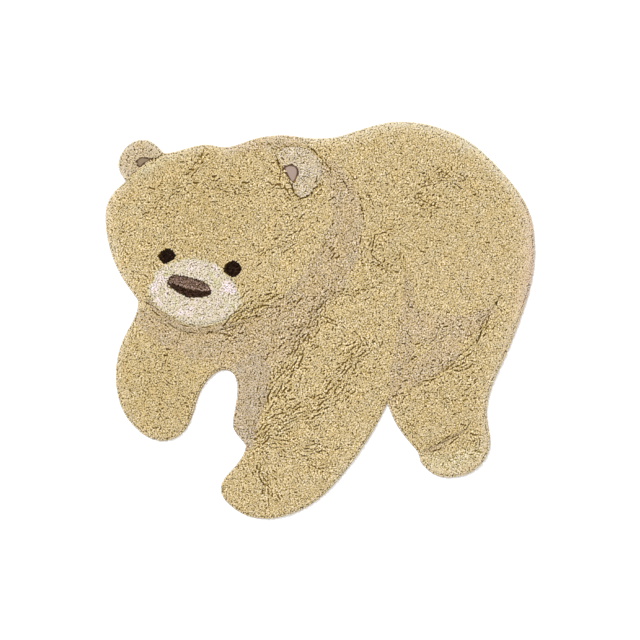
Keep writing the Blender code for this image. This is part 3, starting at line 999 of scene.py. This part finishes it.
def markColour(points, rng):
    # Dark brown eyes with light flecks, and a nose that is lighter above its ridge, with a painted
    # highlight along the ridge
    count = len(points)
    inNose = insideLoop(noseLoop, points)
    deep = depthInLoop(noseLoop, points)
    above = points[:, 1] - np.interp(points[:, 0], noseRidge[:, 0], noseRidge[:, 1])
    upper = softStep(above, 0.004) * softStep(deep - noseTone["upperInset"], 0.003)
    nose = mixed(np.tile(linearColours["noseDark"], (count, 1)), "noseLight", upper)
    # painted highlight: a lighter strip along the nose's ridge
    ridgeHighlight = softStep(noseTone["ridgeWidth"] - np.abs(above - noseTone["ridgeRise"]), 0.003)
    ridgeHighlight *= softStep(deep - noseTone["ridgeInset"], 0.003)
    nose = mixed(nose, "noseRidge", ridgeHighlight * noseTone["ridge"])
    # Streaks along the nose: noise drawn out along its length
    axis = noseRidge[-1] - noseRidge[0]
    axis /= np.linalg.norm(axis)
    drawnOut = np.stack([points @ axis / 4, points @ (-axis[1], axis[0])], axis=1)
    streak = softNoise(drawnOut, noseTone["streakSize"], rng) * noseTone["streak"]
    streak += rng.normal(0, noseTone["streakLoose"], count)
    colours = np.where(inNose[:, None], nose, linearColours["darkBrown"])
    leftEye, rightEye = noseTone["eyeFlecks"]
    chance = np.where(points[:, 0] > -0.33, rightEye, leftEye)
    flecks = (rng.uniform(0, 1, count) < chance) * noseTone["fleck"]
    flecks = flecks + rng.normal(0, noseTone["eyeLoose"], count)
    return colours * np.exp(np.where(inNose, streak, flecks))[:, None]


tuftShape = {
    "sides": 4,
    "girth": np.array([0.95, 1.04]),  # at the yarn's foot and at its top
    # painted shade, darkest at the foot where the tufts shade each other, and a painted highlight at
    # the tip
    "shades": np.array([0.55, 0.97, 1.04]),  # at the foot, the top and the tip
    # beside a furrow: deeper painted shade at the foot and a brighter painted highlight at the tip
    "partedShades": np.array([0.12, 0.95, 1.10]),  # beside a furrow
    "litFoot": 0.95,  # shade of the feet that light reaches, at the rim
    "tip": 0.35,  # how far the rounded tip goes on, in half thicknesses
    "lowest": 0.0006,
    "curl": 0.0006,
    "girths": (0.86, 1.12),
    "twist": 1.4,  # turns of the ply along one tuft
}


def tuftPlaces(tufts, rng):
    # A ring at the foot, a ring at the end of the lean and of the climb, and the tip beyond it.
    # Rings stand square to the yarn, on a level arm across the lean and one square to both.
    root, lean, yarn = tufts["root"], tufts["lean"], tufts["yarn"]
    count, sides = len(root), tuftShape["sides"]
    length = np.linalg.norm(lean, axis=1, keepdims=True)
    way = lean / (length + 1e-9)
    way[length[:, 0] < 1e-5] = (1, 0)
    arm = crosswise(way)
    rng.normal(0, 1, (count, 1))  # keeps the later draws as they are
    curl = rng.normal(0, tuftShape["curl"], (count, 1))
    foot = np.column_stack([root, tufts["rootZ"]])
    top = np.column_stack([root + way * length + arm * curl, tufts["height"] - yarn * 0.3])
    forward = top - foot
    forward /= np.linalg.norm(forward, axis=1, keepdims=True)
    level = np.column_stack([arm, np.zeros(count)])
    upright = np.cross(forward, level)
    upright /= np.linalg.norm(upright, axis=1, keepdims=True)
    level = np.cross(upright, forward)[:, None]
    turn = (np.arange(sides) * math.tau / sides + rng.uniform(0, math.tau, (count, 1)))[..., None]
    around = level * np.cos(turn) - upright[:, None] * np.sin(turn)
    girth = yarn[:, None] * tuftShape["girth"] * rng.uniform(*tuftShape["girths"], (count, 1))
    rings = [centre[:, None] + around * girth[:, end, None, None]
             for end, centre in enumerate((foot, top))]
    tip = top + forward * (yarn * tuftShape["tip"])[:, None]
    places = np.concatenate([*rings, tip[:, None]], axis=1)
    places[..., 2] = np.maximum(places[..., 2], tuftShape["lowest"])
    return places


def tuftFaces():
    # Corners of one tuft's faces: the foot, the quads between the rings and the fan of the tip,
    # with each corner's place on the yarn as its turn and its share of the length
    sides = tuftShape["sides"]
    foot = np.arange(sides)[::-1] * math.tau / sides
    corners, sizes = list(range(sides))[::-1], [sides]
    turns, shares = list(0.5 + 0.45 * np.cos(foot)), list(-0.08 + 0.05 * np.sin(foot))
    for side in range(sides):
        after = (side + 1) % sides
        corners += [side, after, sides + after, sides + side]
        turns += [side / sides, (side + 1) / sides, (side + 1) / sides, side / sides]
        shares += [0, 0, 1, 1]
        sizes.append(4)
    for side in range(sides):
        corners += [sides + side, sides + (side + 1) % sides, 2 * sides]
        turns += [side / sides, (side + 1) / sides, (side + 0.5) / sides]
        shares += [1, 1, 1.1]
        sizes.append(3)
    return np.array(corners), np.array(turns), np.array(shares), np.array(sizes)


def grainTone(tufts, places):
    # The tone of each corner, partly the yarn's own uneven tone and partly painted light and shade:
    # lighter on the grain's ridges, darker in its pits, with painted shade along the furrows
    flat = places[..., :2].reshape(-1, 2)
    ridge, furrow = (readGrid(grid, flat, grain["cell"]).reshape(places.shape[:2])
                     for grid in (grainGrid, furrowShadeGrid))
    change = ridge * grain["tone"] * tufts["rough"][:, None] - furrow * grain["furrowPaintedShade"]
    return tufts["tone"][:, None] * np.exp(change)


def tuftColours(tufts, places):
    # The yarn's colour with painted shade, darker at the foot and beside a furrow, and a painted
    # highlight at the tip; alpha is how rough the pile is
    plain, parted = (np.append(np.repeat(shades[:-1], tuftShape["sides"]), shades[-1])
                     for shades in (tuftShape["shades"], tuftShape["partedShades"]))
    shades = plain + (parted - plain) * np.sqrt(tufts["parted"])[:, None]
    shades += (np.maximum(shades, tuftShape["litFoot"]) - shades) * tufts["foot"][:, None]
    colours = np.empty((*places.shape[:2], 4))
    colours[..., 3] = tufts["rough"][:, None]
    colours[..., :3] = toned(tufts["colour"][:, None], shades * grainTone(tufts, places))
    return colours


def tuftPiece(name, tufts, material, rng):
    # All tufts of a piece in one mesh, with each tuft in its own cell of the map OFBake
    places = tuftPlaces(tufts, rng)
    count, perTuft = places.shape[:2]
    corners, turns, shares, sizes = tuftFaces()
    allCorners = (corners + np.arange(count)[:, None] * perTuft).ravel()
    allSizes = np.tile(sizes, count)
    mesh = bpy.data.meshes.new(name)
    mesh.vertices.add(count * perTuft)
    mesh.vertices.foreach_set("co", places.ravel())
    mesh.loops.add(len(allCorners))
    mesh.loops.foreach_set("vertex_index", allCorners.astype(np.int32))
    mesh.polygons.add(len(allSizes))
    starts = np.concatenate([[0], np.cumsum(allSizes)[:-1]])
    mesh.polygons.foreach_set("loop_start", starts.astype(np.int32))
    smoothFaces(mesh)
    paintPoints(mesh, "yarnColour", tuftColours(tufts, places))
    columns = math.ceil(math.sqrt(count))
    cell = np.stack(np.divmod(np.arange(count), columns), axis=1)[:, ::-1]
    inCell = np.stack([0.04 + 0.92 * turns, 0.15 + 0.74 * shares], axis=1)
    strand = np.stack([turns, shares * tuftShape["twist"]], axis=1)
    maps = {
        "OFBake": (cell[:, None] + inCell) / columns,
        "strand": strand + rng.uniform(0, 1, (count, 1, 1)) * np.array([0, 1]),
    }
    for title, spots in maps.items():
        layer = mesh.uv_layers.new(name=title)
        layer.data.foreach_set("uv", spots.astype(np.float32).ravel())
    mesh.update(calc_edges=True)
    piece = addObject(name, mesh, material)
    return piece


def addNode(tree, kind, inputs=None, **settings):
    # A node with its settings; each input is a plain value or the socket that feeds it
    node = tree.nodes.new("ShaderNode" + kind)
    for name, value in settings.items():
        setattr(node, name, value)
    for place, value in (inputs or {}).items():
        if isinstance(value, bpy.types.NodeSocket):
            tree.links.new(value, node.inputs[place])
        else:
            node.inputs[place].default_value = value
    return node


def maths(tree, operation, *values):
    return addNode(tree, "Math", dict(enumerate(values)), operation=operation).outputs[0]


def tonedBy(tree, colour, amount):
    # The colour times a changing amount
    return addNode(tree, "VectorMath", {0: colour, "Scale": amount}, operation="SCALE").outputs[0]


def fullyToned(tree, colour, amount):
    # The colour times the amount, with green and blue falling and rising faster than red
    low = maths(tree, "MINIMUM", amount, 1.0)
    powers = {0: 1}
    for place, power, lowPower in ((1, 0.18, 0.05), (2, 0.8, 0.6)):
        powers[place] = maths(tree, "MULTIPLY", maths(tree, "POWER", amount, power),
                              maths(tree, "POWER", low, lowPower))
    times = {0: tonedBy(tree, colour, amount), 1: addNode(tree, "CombineXYZ", powers).outputs[0]}
    return addNode(tree, "VectorMath", times, operation="MULTIPLY").outputs[0]


def startGroup(name, inputs):
    # A node group with these inputs, and with a colour and a height as its outputs
    group = bpy.data.node_groups.new(name, "ShaderNodeTree")
    for title, kind, value in inputs:
        socket = group.interface.new_socket(name=title, in_out="INPUT", socket_type=kind)
        if value is not None:
            socket.default_value = value
    for title, kind in (("Colour", "NodeSocketColor"), ("Height", "NodeSocketFloat")):
        group.interface.new_socket(name=title, in_out="OUTPUT", socket_type=kind)
    given, result = group.nodes.new("NodeGroupInput"), group.nodes.new("NodeGroupOutput")
    return group, given.outputs, result.inputs


def buildYarnGroup():
    # Two plies that wind round the strand, and the cut ends of the fibres as fine even noise,
    # both less their means, so that the yarn's own colour stays
    group, given, result = startGroup("yarnStrand", (
        ("Colour", "NodeSocketColor", (0.5, 0.5, 0.5, 1)),
        ("Strand", "NodeSocketVector", None),
        ("Place", "NodeSocketVector", None),
        ("Ply Contrast", "NodeSocketFloat", 0.2),
        ("Fibre Contrast", "NodeSocketFloat", 0.2)))
    apart = addNode(group, "SeparateXYZ", {0: given["Strand"]}).outputs
    turn = maths(group, "ADD", apart["X"], apart["Y"])
    ply = maths(group, "ABSOLUTE", maths(group, "SINE", maths(group, "MULTIPLY", turn, math.tau)))
    ends = addNode(group, "TexNoise", {"Scale": 220, "Detail": 0, "Vector": given["Place"]},
                   noise_dimensions="2D").outputs["Fac"]
    fibre = maths(group, "POWER", ends, 0.5)
    plyTone = maths(group, "MULTIPLY", maths(group, "SUBTRACT", ply, 0.64), given["Ply Contrast"])
    fibreTone = maths(group, "MULTIPLY", maths(group, "SUBTRACT", fibre, 0.70),
                      given["Fibre Contrast"])
    tone = maths(group, "ADD", maths(group, "ADD", plyTone, fibreTone), 1.0)
    tone = maths(group, "MAXIMUM", tone, 0.1)
    height = maths(group, "ADD", ply, maths(group, "MULTIPLY", ends, 0.3))
    group.links.new(fullyToned(group, given["Colour"], tone), result["Colour"])
    group.links.new(height, result["Height"])
    return group


def buildWeaveGroup():
    # Threads over and under each other, with slubs and a slow unevenness
    group, given, result = startGroup("cottonWeave", (
        ("Colour", "NodeSocketColor", (0.5, 0.5, 0.5, 1)),
        ("Place", "NodeSocketVector", None),
        ("Threads", "NodeSocketFloat", 900.0),
        ("Contrast", "NodeSocketFloat", 0.2)))
    apart = addNode(group, "SeparateXYZ", {0: given["Place"]}).outputs
    angle = maths(group, "MULTIPLY", given["Threads"], math.pi)
    waves = [maths(group, "SINE", maths(group, "MULTIPLY", apart[axis], angle)) for axis in "XY"]
    weave = maths(group, "MULTIPLY", *waves)
    noise = addNode(group, "TexNoise", {"Scale": 260, "Detail": 5, "Vector": given["Place"]})
    slub = maths(group, "MULTIPLY", maths(group, "SUBTRACT", noise.outputs["Fac"], 0.5), 2.0)
    relief = maths(group, "ADD", maths(group, "MULTIPLY", weave, 0.5), slub)
    tone = maths(group, "ADD", maths(group, "MULTIPLY", relief, given["Contrast"]), 1.0)
    group.links.new(tonedBy(group, given["Colour"], tone), result["Colour"])
    group.links.new(relief, result["Height"])
    return group


def yarnLook(tree, look):
    colour = addNode(tree, "Attribute", attribute_name="yarnColour").outputs
    yarn = addNode(tree, "Group", {
        "Colour": colour["Color"],
        "Strand": addNode(tree, "UVMap", uv_map="strand").outputs["UV"],
        "Place": addNode(tree, "TexCoord").outputs["Object"],
        "Ply Contrast": look["ply"],
        "Fibre Contrast": maths(tree, "MULTIPLY", colour["Alpha"], look["fibre"]),
    }, node_tree=yarnGroup)
    return yarn.outputs["Colour"], yarn.outputs["Height"]


def weaveLook(tree, look):
    if look["colour"] == "clothColour":
        colour = addNode(tree, "Attribute", attribute_name="clothColour").outputs["Color"]
    else:
        colour = (*linearColours[look["colour"]], 1)
    weave = addNode(tree, "Group", {
        "Colour": colour,
        "Threads": look["threads"],
        "Contrast": look["contrast"],
        "Place": addNode(tree, "TexCoord").outputs["Object"],
    }, node_tree=weaveGroup)
    return weave.outputs["Colour"], weave.outputs["Height"]


def bedLook(tree, look):
    # The closed mass of yarn below the tufts: specks of lighter and darker ends
    colour = addNode(tree, "Attribute", attribute_name="yarnColour").outputs["Color"]
    place = addNode(tree, "TexCoord").outputs["Object"]
    noise = addNode(tree, "TexNoise", {"Scale": look["specks"], "Detail": 2, "Vector": place})
    specks = noise.outputs["Fac"]
    spread = maths(tree, "MULTIPLY", maths(tree, "SUBTRACT", specks, 0.5), look["contrast"])
    return tonedBy(tree, colour, maths(tree, "ADD", spread, 1.0)), specks


def makeMaterial(name, build, look):
    # Plain values on the shader's own sockets; its colour and the bump's height from the build
    material = bpy.data.materials.new(name)
    material.use_nodes = True
    tree = material.node_tree
    shader = tree.nodes["Principled BSDF"].inputs
    shader["Roughness"].default_value = look["roughness"]
    shader["Specular IOR Level"].default_value = look["specular"]
    shader["Sheen Weight"].default_value = look["sheen"]
    shader["Sheen Roughness"].default_value = 0.6
    colour, height = build(tree, look)
    bump = addNode(tree, "Bump", {"Strength": 1.0, "Distance": look["relief"], "Height": height})
    tree.links.new(colour, shader["Base Color"])
    tree.links.new(bump.outputs["Normal"], shader["Normal"])
    return material


yarnGroup = buildYarnGroup()
weaveGroup = buildWeaveGroup()
pileCotton = makeMaterial("pileCotton", yarnLook, {
    "roughness": 0.95, "specular": 0.15, "sheen": 0.04, "relief": 0.0003,
    "ply": 0.15, "fibre": 1.6})
creamCotton = makeMaterial("creamCotton", yarnLook, {
    "roughness": 0.95, "specular": 0.15, "sheen": 0.10, "relief": 0.0003,
    "ply": 0.10, "fibre": 1.8})
darkCotton = makeMaterial("darkCotton", yarnLook, {
    "roughness": 0.95, "specular": 0.05, "sheen": 0.0, "relief": 0.0003,
    "ply": 0.40, "fibre": 1.4})
bedCotton = makeMaterial("bedCotton", bedLook, {
    "roughness": 0.95, "specular": 0.1, "sheen": 0.0, "relief": 0.002,
    "specks": 260.0, "contrast": 1.2})
groundCanvas = makeMaterial("groundCanvas", weaveLook, {
    "roughness": 0.95, "specular": 0.15, "sheen": 0.0, "relief": 0.0003,
    "colour": "canvas", "threads": 800.0, "contrast": 0.16})
patchCotton = makeMaterial("patchCotton", weaveLook, {
    "roughness": 0.92, "specular": 0.15, "sheen": 0.05, "relief": 0.00015,
    "colour": "clothColour", "threads": 1600.0, "contrast": 0.10})
print("stage: materials made")

bedShape = {
    "below": 0.0060,  # how deep the bed lies under the top of the pile
    "foot": 0.0012,  # in the ground cloth
    "lowest": 0.0026,
    "rimInset": 0.0065,
    # painted shade of the bed, seen in the gaps between the tufts; lifted in the muzzle and near the
    # rim
    "tone": 0.28,
    "muzzleTone": 0.70,
    "rimTone": 0.90,
    "rimLit": 0.015,
    "paleLit": 1.2,
}


def makeBed(rng):
    # The dense lower part of the pile: the frame's rug, lowered and drawn in from the rim. Its
    # colour is darkened by painted shade, less near the rim and in the muzzle.
    shape = mergedCopy("rug")
    top = [edge for edge in shape.edges
           if min(vert.co.z for vert in edge.verts) > tufting["pocketTop"]]
    bmesh.ops.subdivide_edges(shape, edges=top, cuts=1)
    bmesh.ops.triangulate(shape, faces=shape.faces)
    mesh = bpy.data.meshes.new("pileBed")
    shape.to_mesh(mesh)
    shape.free()
    places = np.empty(len(mesh.vertices) * 3)
    mesh.vertices.foreach_get("co", places)
    places = places.reshape(-1, 3)
    spots, height = places[:, :2], places[:, 2].copy()
    far, number = nearestOn(*loopSides(outline), spots)[:2]
    spots -= outward[number] * np.clip(bedShape["rimInset"] - far, 0, None)[:, None]
    pocket = (height < tufting["pocketTop"]) & (far > tufting["bodyInset"])
    lowered = np.maximum(height - bedShape["below"], bedShape["lowest"])
    places[:, 2] = np.where(height < 0.001, bedShape["foot"], np.where(pocket, height, lowered))
    mesh.vertices.foreach_set("co", places.ravel())
    pale = bedShape["paleLit"] * rimPaleness(spots)[0]
    lit = np.maximum(np.exp(-far / bedShape["rimLit"]), pale).clip(0, 1)
    # painted shade of the bed, lightened where the rim is lit
    tone = bedShape["tone"] + lit * (bedShape["rimTone"] - bedShape["tone"])
    inMuzzle = insideLoop(muzzleLoop, spots)
    cotton = np.where(inMuzzle[:, None], linearColours["cream"], pileColour(spots, rng))
    for loop in markLoops:
        cotton[insideLoop(loop, spots)] = linearColours["darkBrown"]
    colours = np.ones((len(places), 4))
    colours[:, :3] = toned(cotton, np.where(inMuzzle, bedShape["muzzleTone"], tone))
    paintPoints(mesh, "yarnColour", colours)
    smoothFaces(mesh)
    mesh.update()
    bed = addObject("pileBed", mesh, bedCotton)
    return bed


def finished(tufts, colour, rng, footed=False):
    # The height of the tufts' feet, in the ground or in the bed, and the yarn's colour
    bedTop = np.maximum(pileTop(tufts["root"]) - bedShape["below"], bedShape["lowest"])
    onGround = np.full(len(bedTop), tufting["rimFoot"])
    tufts["rootZ"] = onGround if footed else bedTop - tufting["sunk"]
    tufts["colour"] = colour(tufts["root"], rng)
    return tufts


body = finished(makeLying(bodyRoots, bodyLie, tuftRng), pileColour, tuftRng)
muzzle = finished(makeLying(muzzleRoots, muzzleLie, tuftRng), muzzleColour, tuftRng)
marks = finished(makeMarks(tuftRng), markColour, tuftRng)
rim = finished(makeRim(tuftRng), pileColour, tuftRng, footed=True)

nearestFlow = ((body["root"][:, None] - flowPlaces) ** 2).sum(axis=2).argmin(axis=1)
bodyPieces = flowPieces[nearestFlow]
bodyPieces[inEars(body["root"])] = "earPile"
pilePieces = []
for name in sorted(set(bodyPieces)):
    chosen = {key: values[bodyPieces == name] for key, values in body.items()}
    pilePieces.append(tuftPiece(name, chosen, pileCotton, tuftRng))
pilePieces.append(tuftPiece("rimPile", rim, pileCotton, tuftRng))
pilePieces.append(tuftPiece("muzzlePile", muzzle, creamCotton, tuftRng))
pilePieces.append(tuftPiece("eyesAndNosePile", marks, darkCotton, tuftRng))
pilePieces.append(makeBed(tuftRng))
for piece in pilePieces:
    piece.data.calc_loop_triangles()
    print(f"piece {piece.name}: {len(piece.data.loop_triangles)} triangles")

groundShape = {  # rows of inset and height, from the underside round the folded hem to the top
    "rows": ((0.0040, 0.0000), (0.0016, 0.0000), (0.0005, 0.0005), (0.0000, 0.0013),
             (0.0004, 0.0022), (0.0014, 0.0027), (0.0030, 0.0026), (0.0044, 0.0021)),
    "flatSize": (1.20, 1.11),
    "flatArea": 0.977,
}
# Rows of share of the opening's reach, height over the patch's foot and share of mauve; the rest of
# a row's colour is the painted shadow of the pile round the opening
patchRows = (
    (0.50, 0.0000, 0), (1.25, 0.0038, 0), (1.30, 0.0042, 0), (1.27, 0.0046, 0), (0.97, 0.0048, 0),
    (0.90, 0.0048, 0.1), (0.80, 0.0050, 1), (0.45, 0.0054, 1), (0.15, 0.0055, 1),
)


def rowsToPiece(name, rows, material):
    # Quads between rings of points, and a face that closes the first and the last ring
    rows = np.asarray(rows)
    count, size = rows.shape[:2]
    ring, step = np.meshgrid(np.arange(count - 1), np.arange(size), indexing="ij")
    after = (step + 1) % size
    quads = np.stack([ring * size + step, ring * size + after, (ring + 1) * size + after,
                      (ring + 1) * size + step], axis=-1).reshape(-1, 4)
    caps = [list(range(size))[::-1], list(range((count - 1) * size, count * size))]
    mesh = bpy.data.meshes.new(name)
    mesh.from_pydata(rows.reshape(-1, 3), [], quads.tolist() + caps)
    smoothFaces(mesh)
    shape = bmesh.new()
    shape.from_mesh(mesh)
    bmesh.ops.recalc_face_normals(shape, faces=shape.faces)
    shape.to_mesh(mesh)
    shape.free()
    return addObject(name, mesh, material)


def makePatch(name, node, opening, cloth):
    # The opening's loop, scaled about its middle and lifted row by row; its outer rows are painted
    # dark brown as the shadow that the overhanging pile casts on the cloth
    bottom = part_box(node)[0].z
    middle = opening.mean(axis=0)
    rows = [np.column_stack([middle + (opening - middle) * share,
                             np.full(len(opening), bottom + height)])
            for share, height, mauve in patchRows]
    patch = rowsToPiece(name, rows, patchCotton)
    shares = np.repeat([mauve for share, height, mauve in patchRows], len(opening))
    colours = np.ones((len(shares), 4))
    # painted shadow of the overhanging pile on the patch's outer rows
    pileShadowBrown = np.tile(linearColours["pileShadowBrown"], (len(shares), 1))
    colours[:, :3] = mixed(pileShadowBrown, cloth, shares)
    paintPoints(patch.data, "clothColour", colours)
    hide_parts(node)
    return patch


groundRows = [np.column_stack([outline - outward * inset, np.full(len(outline), height)])
              for inset, height in groundShape["rows"]]
groundCloth = rowsToPiece("groundCloth", groundRows, groundCanvas)
patchPieces = [
    # the left patch's cloth in painted shade
    makePatch("leftEarPatchCloth", "left_ear_patch", patchOpenings["left_ear_patch"], "shadedMauve"),
    makePatch("rightEarPatchCloth", "right_ear_patch", patchOpenings["right_ear_patch"], "mauve"),
]
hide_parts("rug")
for piece in [groundCloth, *pilePieces, *patchPieces]:
    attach(piece, "root")
print("stage: pieces made")

studio = {
    "floorSize": 8.0,
    "floorColour": (0.96, 0.96, 0.96),
    "skyStrength": 0.95,
    "keyPower": 1920.0,
    "keySize": 5.2,
    "keyPlace": (-6.0, 6.8, 10.4),
    "keyTarget": (0.0, 0.0, 0.0),
}
view = {
    "span": 1.785,  # metres of rug from edge to edge of the picture
    "middle": (0.0004, 0.0002),
    "lens": 100.0,
    "sensor": 36.0,
    "pileLevel": 0.012,
}


def makeFloor():
    half = studio["floorSize"] / 2
    mesh = bpy.data.meshes.new("floor")
    corners = [(-half, -half, 0), (half, -half, 0), (half, half, 0), (-half, half, 0)]
    mesh.from_pydata(corners, [], [(0, 1, 2, 3)])
    material = bpy.data.materials.new("paleFloor")
    material.use_nodes = True
    shader = material.node_tree.nodes["Principled BSDF"].inputs
    shader["Base Color"].default_value = (*studio["floorColour"], 1)
    shader["Roughness"].default_value = 1.0
    shader["Specular IOR Level"].default_value = 0.0
    addObject("floor", mesh, material)


def makeLight():
    world = bpy.data.worlds.new("studio")
    world.use_nodes = True
    sky = world.node_tree.nodes["Background"].inputs
    sky["Color"].default_value = (1, 1, 1, 1)
    sky["Strength"].default_value = studio["skyStrength"]
    bpy.context.scene.world = world
    lamp = bpy.data.lights.new("key", "AREA")
    lamp.energy = studio["keyPower"]
    lamp.size = studio["keySize"]
    key = addObject("key", lamp)
    key.location = studio["keyPlace"]
    aim = Vector(studio["keyTarget"]) - key.location
    key.rotation_euler = aim.to_track_quat("-Z", "Y").to_euler()


def makeCamera():
    # Straight above, at the distance where the span fills the picture
    lens = bpy.data.cameras.new("camera")
    lens.lens = view["lens"]
    lens.sensor_width = view["sensor"]
    distance = view["span"] * view["lens"] / view["sensor"]
    lens.clip_end = 4 * distance
    camera = addObject("camera", lens)
    camera.location = (*view["middle"], view["pileLevel"] + distance)
    bpy.context.scene.camera = camera


makeFloor()
makeLight()
makeCamera()
bpy.context.scene.view_settings.view_transform = "Standard"
print("stage: floor, light and camera set")
